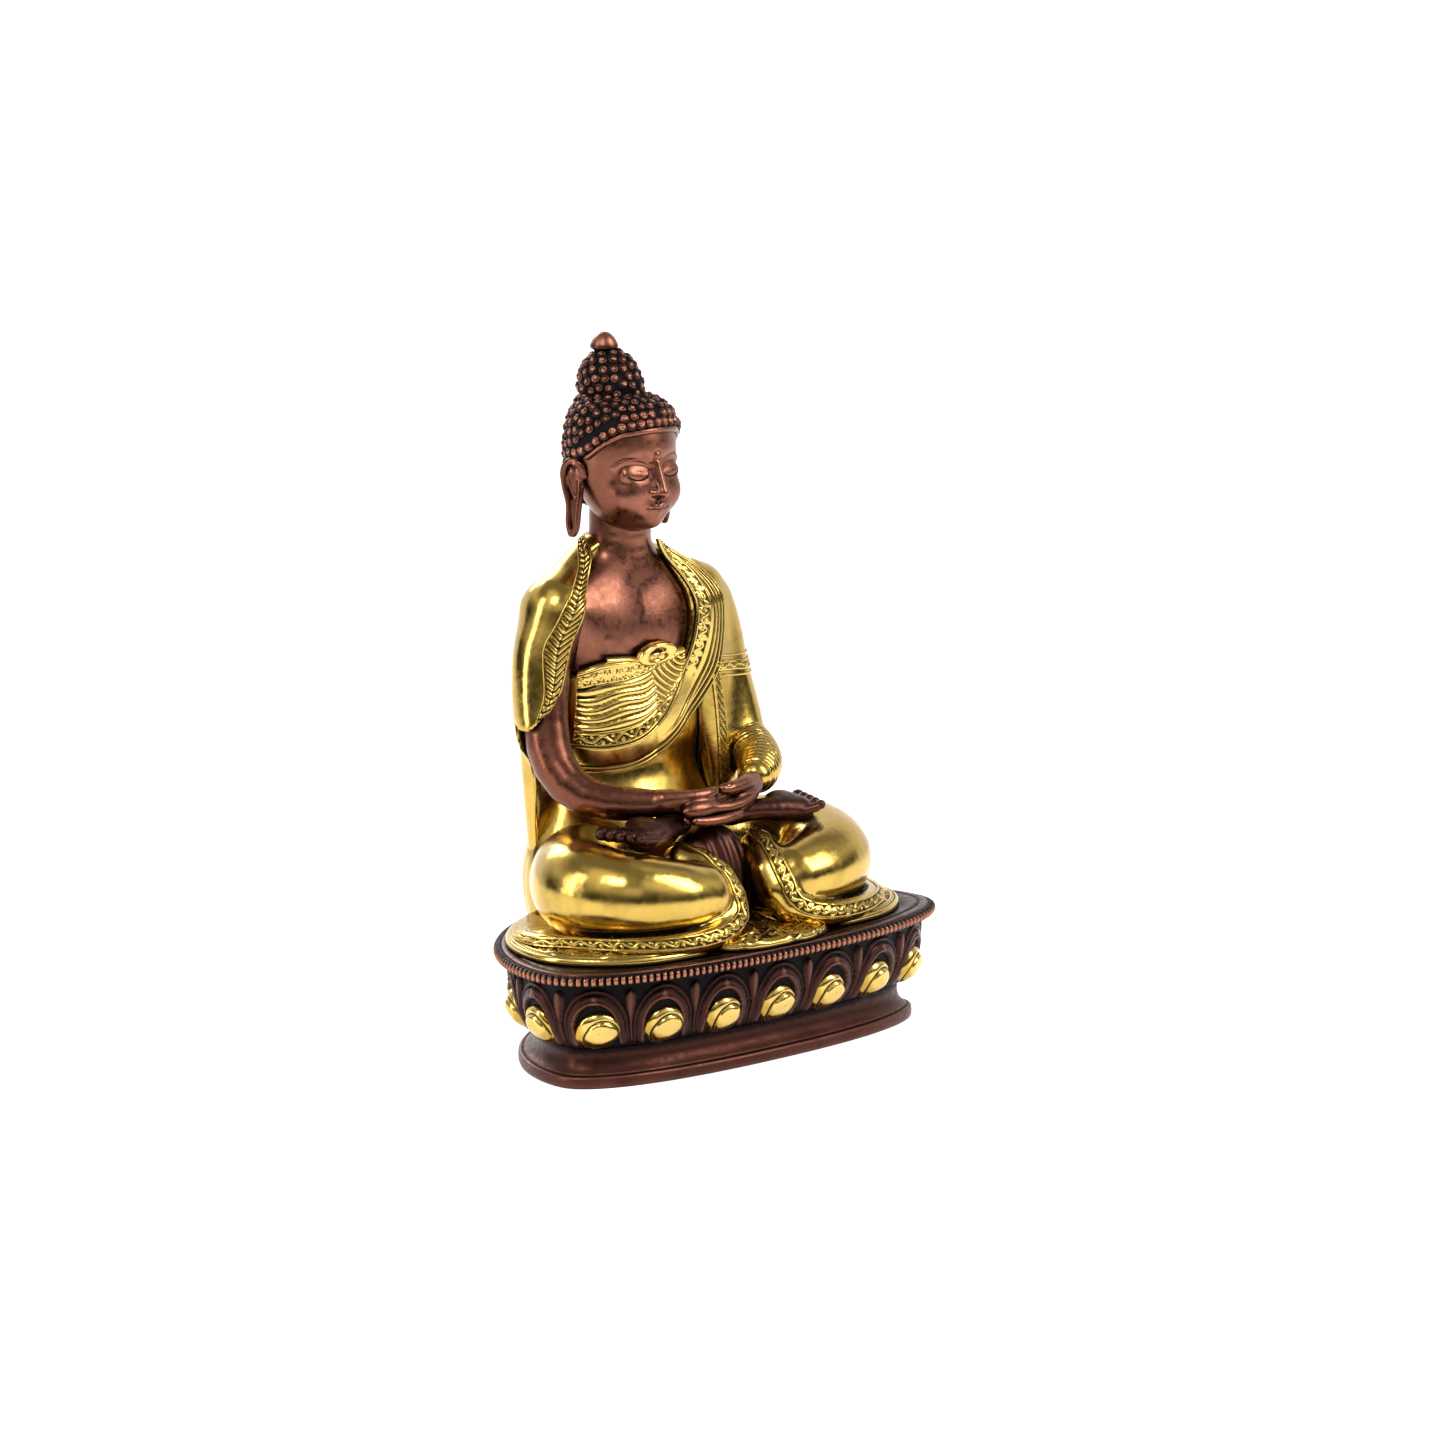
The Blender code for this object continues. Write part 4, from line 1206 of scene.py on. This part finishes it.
def hair_pieces():
    skin("hair_base", hair, ((-23, 10, 160), (23, 53, 219)), 0.8, HAIR_METAL,
         ["hair_cap", "ushnisha"], near=(torso,),
         relief=lambda p, n: (0 * n[:, 0], np.ones(len(p)), np.zeros(len(p))))
    curls()
    turn = np.radians(np.linspace(-82, 82, 40))
    low_edge = around_head(turn, -2.1, skull)
    high_edge = around_head(turn, 0.4, skull)
    laid("hair_band", low_edge, high_edge, skull, cord, SKIN, "copper_skin", lift=0.25)
    x, y, z = FINIAL
    profile = spline([(0.05, 4.4, 0), (1.6, 4.0, 0), (3.2, 2.6, 0), (4.3, 0.6, 0), (4.5, -0.5, 0),
                      (3.9, -1.1, 0), (3.2, -1.5, 0), (3.3, -3.0, 0), (4.0, -5.0, 0)], 26)
    turn = np.linspace(0, 2 * np.pi, 48, endpoint=False)
    verts = np.stack([x + profile[:, :1] * np.cos(turn), y + profile[:, :1] * np.sin(turn),
                      z + profile[:, 1:2] + 0 * turn], -1)
    dark = smoothstep(0.2, -1.6, profile[:, 1:2]) + 0 * turn
    tone = smoothstep(-0.5, 1.5, profile[:, 1:2]) * 0.5 + 0 * turn
    piece = new_mesh("finial_cap", verts.reshape(-1, 3), grid_quads(26, 48)[:, ::-1], HAIR_METAL,
                     dark, tone)
    finish_piece(piece, ["finial"])


# ---- Hands and feet -------------------------------------------------------------------------

def right_hand(p):
    """The upper hand, palm up, its fingers towards the figure's left."""
    palm = limb(p, [(-19, -4.8, 79.2, 4.2), (-14, -8.2, 78.6, 4.3), (-8, -11, 77.8, 4.4),
                    (-3, -12.5, 77.6, 3.8)], 10, ((0, 0, 1), 1.35))
    wrist = cone(p, (-29, 2.0, 79.6), (-18.5, -5.4, 79.2), 5.65, 4.2)
    shape = join(join(palm, wrist, 2), ellipsoid(p, (-8.5, -15.2, 77.4), (8, 3.0, 3.0)), 1.2)
    for number in range(4):
        y = -16.8 + 3.1 * number
        curl = 0.5 * number
        finger = limb(p, [(-5, y + 0.6, 77.3, 1.75), (1, y, 77.0 + 0.1 * curl, 1.7),
                          (7, y + 0.2, 77.3 + 0.2 * curl, 1.6),
                          (11.5 + 1.2 * math.sin(number), y + 0.8, 78.2 + 0.2 * curl, 1.35)], 10)
        shape = join(shape, finger, 0.5)
    thumb = limb(p, [(-18.5, -8.0, 80.6, 3.0), (-13.5, -11.4, 80.9, 2.6), (-9.0, -13.4, 81.2, 2.3),
                     (-5.0, -13.9, 81.6, 2.1), (-2.2, -13.6, 81.9, 1.75)], 12)
    return join(shape, thumb, 1.3)


def left_hand(p):
    """The lower hand, its palm under the other and its thumb tip near the other's."""
    palm = limb(p, [(23, -4.2, 81.2, 4.4), (17.5, -8.0, 79.4, 4.6), (10, -11.5, 76.6, 4.7),
                    (3, -13, 74.6, 4.2)], 10, ((0, 0, 1), 1.3))
    shape = palm
    for number in range(4):
        y = -18.2 + 3.2 * number
        finger = limb(p, [(5, y + 0.8, 74.2, 1.8), (-2, y, 73.8, 1.75), (-8, y + 0.3, 73.8, 1.65),
                          (-13 - math.sin(number), y + 1.0, 74.3, 1.4)], 10)
        shape = join(shape, finger, 0.5)
    thumb = limb(p, [(19, -8.6, 81.6, 3.0), (13.5, -11.6, 82.0, 2.7), (8.6, -13.2, 82.0, 2.3),
                     (4.6, -13.8, 82.0, 2.1), (2.0, -13.6, 82.1, 1.75)], 12)
    return join(shape, thumb, 1.3)


def nails(places):
    """Relief of a nail's ringed outline at each of the places on the fingers."""
    def relief(p, normal):
        ink, height = np.zeros(len(p)), np.zeros(len(p))
        for place in places:
            radius = np.linalg.norm((p - place) * (0.8, 1, 0.9), axis=1)
            ring = bump(radius - 1.15, 0.2)
            ink, height = np.maximum(ink, 0.75 * ring), height - 0.16 * ring
        # Painted highlight: surfaces facing up are lighter
        tone = 0.25 + 0.75 * smoothstep(-0.1, 0.7, normal[:, 2])
        return height, ink, tone
    return relief


def foot_right(p):
    """The right foot, sole up, on the left thigh with the toes outward."""
    sole = limb(p, [(12, -6, 72.0, 5.5), (19, -10.5, 72.6, 4.3), (27, -13, 72.2, 5.4),
                    (33, -14, 71.4, 5.7)], 10, ((0, 0, 1), 1.3))
    shape = join(sole, ellipsoid(p, (30, -10, 74.6), (5.2, 4.6, 2.6)), 2)
    shape = join(shape, ellipsoid(p, (14, -7, 74.4), (5.4, 4.4, 2.4)), 2)
    for number in range(5):
        start = np.array([34.0 + 0.5 * number, -19.0 + 3.1 * number, 71.8])
        reach = np.array([4.6 + 0.4 * number, -0.9 + 0.5 * number, 0.6])
        size = 1.55 + 0.16 * number
        shape = join(shape, cone(p, start - 0.5 * reach, start + 0.6 * reach, size, size), 0.5)
        shape = join(shape, ellipsoid(p, start + reach + (0, 0, 0.5), (size * 1.1, size, size)),
                     0.3)
    return shape


def foot_left(p):
    return foot_right(p * (-1, 1, 1))


def hands_and_feet():
    skin("hand_right", right_hand, ((-29, -22, 70), (16, 8, 88)), 0.45, SKIN,
         ["right_hand"], near=(left_hand, legs), relief=nails([(-3.2, -14.4, 83.5)]), rounds=2)
    skin("hand_left", left_hand, ((-18, -24, 68), (30, 4, 89)), 0.45, SKIN,
         ["left_hand"], near=(right_hand, legs), relief=nails([(3.4, -14.4, 83.7)]), rounds=2)
    skin("foot_right", foot_right, ((6, -24, 62), (46, 4, 80)), 0.55, UMBER,
         ["right_foot"], near=(left_hand, legs), rounds=2)
    skin("foot_left", foot_left, ((-46, -24, 62), (-6, 4, 80)), 0.55, UMBER,
         ["left_foot"], near=(right_hand, legs), rounds=2)


# ---- Cuff, lap and hem ----------------------------------------------------------------------

CUFF_PATH = [(39, 18, 89.5, 7.4), (38, 11.5, 86.2, 7.6), (34.5, 4.5, 84.0, 7.2),
             (29.5, -0.8, 82.8, 6.5), (24.8, -4.4, 81.8, 5.7)]


def cuff(p):
    """The inner sleeve gathered in rings along the left forearm."""
    path = spline(CUFF_PATH, 30)
    square = ((p[:, None, :] - path[None, :, :3]) ** 2).sum(2)
    along = (square * 0 + np.arange(30))[np.arange(len(p)), square.argmin(1)]
    a = path[np.minimum(along.astype(int), 28), :3]
    b = path[np.minimum(along.astype(int), 28) + 1, :3]
    share = np.clip(((p - a) * (b - a)).sum(1) / ((b - a) ** 2).sum(1), -1, 1)
    rings = np.abs(((np.minimum(along, 28) + share) / 29 * 13) % 1 - 0.5) * 2
    return limb(p, CUFF_PATH, 14) - 0.75 * np.sqrt(np.clip(1 - rings ** 2, 0, 1)) + 0.3


def lap(p):
    """Dark cloth hanging between the shins in soft folds."""
    shape = ellipsoid(p, (0, -8, 46), (17, 13, 25))
    waves = 0.5 * np.sin(p[:, 0] * 1.25 + 0.4 * np.sin(p[:, 2] * 0.2))
    return (shape + waves * smoothstep(-8, -18, p[:, 1])) * 0.9


def cuff_and_lap():
    skin("cuff", cuff, ((12, -16, 70), (50, 28, 100)), 0.42, BRASS,
         ["left_cuff"], near=(left_hand, gown, drape), rounds=1)
    skin("lap_cloth", lap, ((-18, -28, 39), (18, 2, 71)), 0.7, UMBER,
         ["lap_panel"], near=(legs,))


HEM = [(0, -46.5), (-12, -45.8), (-21, -41.5), (-25, -36.8), (-32, -40), (-50, -38), (-64, -30),
       (-72, -19), (-73.5, -6), (-68, 10), (-56, 24), (-38, 35), (-18, 40), (0, 41)]


def fold_curl(x, y, size, turn):
    """An S-shaped fold drawn on the deck plane."""
    shape = np.array([(-1, 0.5), (-0.6, 0.75), (-0.1, 0.5), (0, 0), (0.15, -0.5), (0.6, -0.75),
                      (1.05, -0.45)]) * size
    c, s = math.cos(turn), math.sin(turn)
    return spline(np.c_[shape @ np.array([(c, s), (-s, c)]) + (x, y), np.zeros(7)], 14)


HEM_CURLS = [fold_curl(*place) for place in (
    (-2, -36, 4.2, 0.3), (7, -38, 3.4, 1.3), (1, -42.5, 3.8, -0.2), (-10, -38.5, 3.4, 0.9),
    (13, -42, 3.2, -0.6), (-13, -42.5, 3.0, 0.5), (5, -32, 3.0, 0.8), (-7, -31.5, 3.0, 0.2),
    (-27, -33, 2.6, 0.4), (27, -33, 2.6, 2.4), (-60, -26, 2.8, 2.3), (60, -26, 2.8, 0.8),
    (-68, -12, 2.6, 1.7), (68, -12, 2.6, 1.5))]


def hem_edge(count):
    """The lobed outline of the robe spread on the deck, anticlockwise seen from above."""
    half = spline(np.c_[HEM, np.zeros(len(HEM))], 400)[:, :2]
    whole = np.vstack([half, (half * (-1, 1))[::-1][1:-1]])
    whole = np.c_[np.vstack([whole, whole[:1]]), np.zeros(len(whole) + 1)]
    return spline(whole[::6], count + 1)[:-1, :2]


BORDER_DEPTH = 8.6


def hem():
    """The robe's skirt: a thick lobed edge rising to the legs, engraved with borders."""
    columns, border, rows = 860, 26, 38
    edge = hem_edge(columns)
    length = np.linalg.norm(edge - np.roll(edge, 1, axis=0), axis=1).cumsum()
    tangent = unit(np.roll(edge, -5, axis=0) - np.roll(edge, 5, axis=0))
    inward = np.stack([tangent[:, 1], -tangent[:, 0]], 1)
    inward *= np.sign((inward * ((0, 0) - edge)).sum(1, keepdims=True))
    target = edge * (0.52, 0.42)
    base = DECK_Z + 0.25
    reach = np.linalg.norm(target - edge, axis=1)
    verts, dark, tone = [np.c_[edge + 0.4 * inward, np.full(columns, base)]], [], []
    dark.append(np.ones(columns))
    tone.append(np.zeros(columns))
    front = smoothstep(20, 5, edge[:, 1])
    for row in range(rows):
        depth = BORDER_DEPTH * row / border + 0 * reach
        if row > border:
            share = (row - border) / (rows - 1 - border)
            depth = BORDER_DEPTH + (reach - BORDER_DEPTH) * share
        flat = edge + (target - edge) * (depth / reach)[:, None]
        round_off = np.sqrt(np.clip(1 - (1 - np.clip(depth / 1.4, 0, 1)) ** 2, 0, 1))
        ripple = np.sin(length * 0.42 + 1.9 * np.sin(length * 0.09) + 0.25 * depth)
        ripple = 0.7 * ripple * smoothstep(4, 11, depth) * front
        height, ink, shine = vine(length, depth - 2.2 + 0 * length, 4.6 + 0 * length, wave=7.5)
        inside = (depth > 2.2) & (depth < 6.8)
        scrolls = inside * front * smoothstep(17, 24, np.abs(edge[:, 0]))
        height, ink = height * scrolls, ink * scrolls
        grooves = np.maximum(bump(depth - 1.6, 0.32), bump(depth - 7.6, 0.36)) * front
        for curve in HEM_CURLS:
            flat3 = np.c_[flat, np.zeros(columns)]
            near_curl = path_distance(flat3, curve)
            grooves = np.maximum(grooves, bump(near_curl, 0.45))
            ripple = ripple + 0.45 * bump(near_curl - 1.1, 0.7)
        rise = 2.3 * round_off + 0.10 * depth + ripple + height - 0.5 * grooves
        verts.append(np.c_[flat, base + np.maximum(rise, 0.05)])
        low = smoothstep(0.1, 0.0, round_off) * 0.8
        dark.append(np.maximum(np.maximum(ink, 0.9 * grooves), low))
        tone.append(np.where(inside, shine, 0.5))
    verts = np.stack(verts)
    quads = grid_quads(rows + 1, columns, True)[:, ::-1]
    piece = new_mesh("hem", verts.reshape(-1, 3), quads, BRASS, np.stack(dark), np.stack(tone))
    finish_piece(piece, ["hem_apron"])


# ---- Bands of the robe ----------------------------------------------------------------------

def sash_relief(s, t, width):
    """Scroll beside the neck, raised lines down the middle, a double line along the outside."""
    share = t / width
    height, ink, shine = vine(s, t, np.minimum(0.48 * width, 6.0), wave=5.5)
    scroll = smoothstep(52, 46, s) * (t < np.minimum(0.48 * width, 6.0))
    height, ink, shine = height * scroll, ink * scroll, shine * scroll
    grooves = bump(t - 0.8, 0.3) * (1 - scroll) + bump(width - t - 1.2, 0.36)
    grooves = grooves + bump(width - t - 2.7, 0.36)
    folds = bump(share - 0.56, 0.03) + bump(share - 0.68, 0.03) * smoothstep(60, 45, s)
    grooves = np.clip(grooves + 0.8 * folds * smoothstep(75, 60, s), 0, 1)
    return height - 0.45 * grooves, np.maximum(ink, grooves), shine + 0.5 * (1 - grooves)


def pleats(s, t, width):
    """Wavy border above, level pleats, a fan at the side and scallops below."""
    v = t / width
    fan = smoothstep(26, 31, s)
    sway = 0.30 * np.sin(s * 0.30) * np.sin(np.pi * np.clip((v - 0.17) / 0.57, 0, 1))
    level = np.abs(((v - 0.17) / 0.57 * 5.0 + sway + 0.5) % 1 - 0.5) * 2
    level = 1 - level
    radial = np.hypot(s - 43, (t - 0.95 * width) * 1.0)
    curved = np.abs((radial / 2.1) % 1 - 0.5) * 2
    fold_line = np.where(fan > 0.5, curved, level)
    body = 0.75 * np.sqrt(np.clip(1 - (1.02 * fold_line) ** 2, 0, 1))
    top, top_ink, _ = vine(s, (v - 0.74) * width, 0.2 * width, wave=4.6, border=0.5)
    bottom, bottom_ink, _ = vine(s, v * width, 0.17 * width, wave=6.0, border=0.5)
    raised = np.where(v > 0.74, 0.35 + 1.2 * top, np.where(v < 0.17, 0.2 + 1.2 * bottom, body))
    raised = np.where(v > 0.94, 0.9, raised)
    # Painted shade: between the borders the troughs of the pleats are darkened
    ink = np.where(v > 0.74, top_ink, np.where(v < 0.17, bottom_ink,
                                               0.85 * smoothstep(0.72, 0.98, fold_line)))
    ink = np.where(v > 0.94, 0, ink)
    return raised, ink, smoothstep(0.4, 0.8, raised)


def stipple(s, t, width):
    """Rows of punched dots between two fine lines."""
    dots = np.sin(2 * np.pi * s / 1.5) * np.sin(2 * np.pi * t / 1.4 + np.pi * s / 1.5)
    raised = smoothstep(0.0, 0.7, dots)
    line = bump(np.abs(t - width / 2) - (width / 2 - 0.5), 0.25)
    raised = np.maximum(raised * (line < 0.2), line)
    return 0.3 * raised, 0.6 * (1 - smoothstep(0.1, 0.5, raised)), smoothstep(0.6, 1, raised)


def knot_relief(s, t, width):
    """A flat loop of cloth: a rounded rim, a slit through the middle painted dark as shade, and a
    crossing strand.
    """
    along, across = 2 * s / s.max() - 1, 2 * t / width - 1
    radius = np.hypot(along, across * np.sqrt(np.clip(1 - along ** 2, 0.05, 1)))
    rim = np.sqrt(np.clip(1 - ((radius - 0.72) / 0.34) ** 2, 0, 1))
    slit = smoothstep(0.42, 0.3, radius)
    strand = bump(along - 0.2, 0.13) * smoothstep(0.1, -0.1, across)
    raised = np.maximum(1.2 * rim, 1.1 * strand)
    # The slit is painted dark as the shade inside the loop
    return raised, 0.9 * slit * (1 - strand), smoothstep(0.5, 1.0, raised)


def under_cloth(p):
    return torso(p) - CLOTH + 0.5


def garment_bands():
    upper = [(-26.3, 118.5), (-20.5, 120.8), (-12, 121.2), (-5.4, 121.5), (5, 122.5),
             (12.5, 122.5)]
    lower = [(-26.3, 94.5), (-17.9, 94.2), (-7.2, 96), (1.5, 101), (7.7, 107.5), (14.5, 115.5)]
    laid("under_robe_pleats", drop(under_cloth, lower), drop(under_cloth, upper), under_cloth,
         pleats, BRASS, "polished_brass", ["under_robe"], lift=0.3, near=(right_arm,))
    laid("sash", drop(covered, SASH_INNER), drop(covered, SASH_OUTER),
         covered, sash_relief, BRASS, "polished_brass", lift=0.55, near=(right_arm,))
    edge = np.array(SHAWL_EDGE[:7])
    outer = edge + [(-4, -2), (-8, -4), (-10.5, -4), (-10, -1), (-9, 0), (-6.5, -1.5), (-3.5, -3)]
    laid("shawl_band", drop(shawl, edge - (0.6, 0.2)), drop(shawl, outer), shawl, leaves, BRASS,
         "polished_brass", lift=0.4)
    loop = np.linspace(-1, 1, 11)
    swell = np.sqrt(np.clip(1.02 - loop ** 2, 0.02, 1))
    laid("knot", drop(under_cloth, np.c_[0.6 + 8.2 * loop, 121.6 + 0.8 * loop - 3.7 * swell]),
         drop(under_cloth, np.c_[0.6 + 8.2 * loop, 121.6 + 0.8 * loop + 3.7 * swell]), under_cloth,
         knot_relief, BRASS, "polished_brass", lift=0.7, step=0.28)
    laid("drape_border", drop(covered, [(23, 112), (24, 100), (24.5, 88), (25, 78)]),
         drop(covered, [(26.5, 113), (28, 100), (28.5, 88), (29, 78)]), covered, stipple, BRASS,
         "polished_brass", lift=0.3)
    ribbon("knot_tail", drop(under_cloth, [(-6.4, 120.4), (-12, 121.3), (-19, 121.6)]), 1.1,
           under_cloth, cord, BRASS, "polished_brass", lift=0.5)
    for side, name in ((1, "left"), (-1, "right")):
        mirrored = (side, 1, 1)
        crest = [(16, -10, 67.5), (13, -21, 65), (10.5, -32, 56), (12, -38, 48), (23, -42, 44.5),
                 (39, -40.5, 43.5), (55, -31, 43.5), (64, -16, 43), (69, -3, 42.5), (66, 9, 42)]
        ribbon(f"knee_scroll_{name}", np.array(crest) * mirrored,
               [1.6, 2.6, 3.0, 2.9, 2.6, 2.3, 2.2, 2.0, 1.8, 1.4], legs, vine, BRASS,
               "polished_brass", lift=0.35)
    for number, (z, half) in enumerate(((117.4, 0.45), (114.2, 1.8), (111.0, 0.45))):
        turn = np.radians(np.linspace(-130, 150, 30))
        ring = np.c_[38 + 13 * np.cos(turn - 0.9), 26 + 13 * np.sin(turn - 0.9), z + 0 * turn]
        ribbon(f"armband_{number}", settle(sleeve, ring, 12), half, sleeve,
               cord if half < 1 else vine, BRASS, "polished_brass", lift=0.25)


# ---- Stage ----------------------------------------------------------------------------------

DARK_ROOM = 0.06
BRIGHT_CEILING = 0.95


def stage():
    """A pale sweep, an uneven room for the metal to mirror and four soft lights."""
    rows, columns = 40, 2
    run = np.linspace(0, 1, rows)
    depth = np.where(run < 0.6, -2.5 + run / 0.6 * 4.0, 1.5 + np.sin((run - 0.6) / 0.4 * 1.57))
    height = np.where(run < 0.6, 0, 1 - np.cos((run - 0.6) / 0.4 * 1.57)) * 2.6
    verts = [(x, y, z) for y, z in zip(depth, height) for x in (-4.0, 4.0)]
    mesh = bpy.data.meshes.new("sweep")
    mesh.from_pydata(verts, [], grid_quads(rows, columns, wrap_columns=False).tolist())
    mesh.shade_smooth()
    sweep = bpy.data.objects.new("sweep", mesh)
    bpy.context.scene.collection.objects.link(sweep)
    sweep.rotation_euler = (0, 0, math.radians(CAMERA_AZIMUTH))
    pale = bpy.data.materials.new("pale_paper")
    pale.use_nodes = True
    shader = pale.node_tree.nodes["Principled BSDF"]
    shader.inputs["Base Color"].default_value = (0.93, 0.93, 0.93, 1)
    shader.inputs["Roughness"].default_value = 0.9
    shader.inputs["Emission Color"].default_value = (1, 1, 1, 1)
    shader.inputs["Emission Strength"].default_value = 0.50
    mesh.materials.append(pale)

    world = bpy.data.worlds.new("studio")
    world.use_nodes = True
    tree = world.node_tree
    place = tree.nodes.new("ShaderNodeTexCoord")
    axes = tree.nodes.new("ShaderNodeSeparateXYZ")
    ramp = tree.nodes.new("ShaderNodeMapRange")
    ramp.interpolation_type = "SMOOTHSTEP"
    tree.links.new(place.outputs["Generated"], axes.inputs[0])
    tree.links.new(axes.outputs["Z"], ramp.inputs["Value"])
    for label, value in (("From Min", 0.12), ("From Max", 0.62), ("To Min", DARK_ROOM),
                         ("To Max", BRIGHT_CEILING)):
        ramp.inputs[label].default_value = value
    # The room that the metal mirrors is uneven
    cloud = tree.nodes.new("ShaderNodeTexNoise")
    cloud.inputs["Scale"].default_value = 1.7
    cloud.inputs["Detail"].default_value = 0.0
    tree.links.new(place.outputs["Generated"], cloud.inputs["Vector"])
    uneven = tree.nodes.new("ShaderNodeMapRange")
    tree.links.new(cloud.outputs["Fac"], uneven.inputs["Value"])
    for label, value in (("From Min", 0.40), ("From Max", 0.58), ("To Min", 0.3),
                         ("To Max", 1.15)):
        uneven.inputs[label].default_value = value
    room = tree.nodes.new("ShaderNodeMath")
    room.operation = "MULTIPLY"
    tree.links.new(ramp.outputs["Result"], room.inputs[0])
    tree.links.new(uneven.outputs["Result"], room.inputs[1])
    # Only the camera's own rays see a white backdrop
    rays = tree.nodes.new("ShaderNodeLightPath")
    shown = tree.nodes.new("ShaderNodeMix")
    tree.links.new(rays.outputs["Is Camera Ray"], shown.inputs[0])
    tree.links.new(room.outputs[0], shown.inputs[2])
    shown.inputs[3].default_value = 1.0
    back = tree.nodes["Background"]
    tree.links.new(shown.outputs[0], back.inputs["Strength"])
    back.inputs["Color"].default_value = (1, 1, 1, 1)
    bpy.context.scene.world = world
    bpy.context.scene.view_settings.view_transform = "Standard"

    # name, azimuth and elevation it shines from, distance, width, height, power
    lights = (("key_light", 35, 38, 1.0, 0.30, 0.7, 6),
              ("side_light", -110, 22, 1.1, 0.22, 0.9, 5),
              ("left_window", -62, 50, 1.2, 0.3, 0.3, 4),
              ("back_light", 165, 30, 1.4, 0.6, 0.6, 7))
    for name, azimuth, elevation, distance, width, height_, power in lights:
        data = bpy.data.lights.new(name, "AREA")
        data.shape = "RECTANGLE"
        data.size = width
        data.size_y = height_
        data.energy = power
        light = bpy.data.objects.new(name, data)
        bpy.context.scene.collection.objects.link(light)
        a, e = math.radians(azimuth), math.radians(elevation)
        out = Vector((math.sin(a) * math.cos(e), -math.cos(a) * math.cos(e), math.sin(e)))
        light.location = Vector((0, 0, 0.1)) + out * distance
        light.rotation_euler = (-out).to_track_quat("-Z", "Y").to_euler()


CAMERA_AZIMUTH = -43.0
CAMERA_ELEVATION = 11.2
CAMERA_DISTANCE = 2.0345
CAMERA_LENS = 162.5
# Where the camera aims, from the middle of the CAD box, in mm
CAMERA_AIM = (-6.1, -20.8, -4.9)


def camera():
    data = bpy.data.cameras.new("camera")
    data.lens = CAMERA_LENS
    data.clip_end = 20
    view = bpy.data.objects.new("camera", data)
    bpy.context.scene.collection.objects.link(view)
    a, e = math.radians(CAMERA_AZIMUTH), math.radians(CAMERA_ELEVATION)
    back = Vector((math.sin(a) * math.cos(e), -math.cos(a) * math.cos(e), math.sin(e)))
    middle = (Vector(cad_box[0]) + Vector(cad_box[1])) / 2
    view.location = middle + Vector(CAMERA_AIM) * MM + back * CAMERA_DISTANCE
    view.rotation_euler = (-back).to_track_quat("-Z", "Y").to_euler()
    bpy.context.scene.camera = view


pedestal_wall()
petal_bosses()
bead_rim()
deck()
foot()
kept_parts()
torso_piece()
arm_piece()
robe_piece()
sleeve_piece()
shawl_piece()
legs_piece()
face_piece()
ears()
hair_pieces()
hands_and_feet()
cuff_and_lap()
hem()
garment_bands()
camera()
stage()
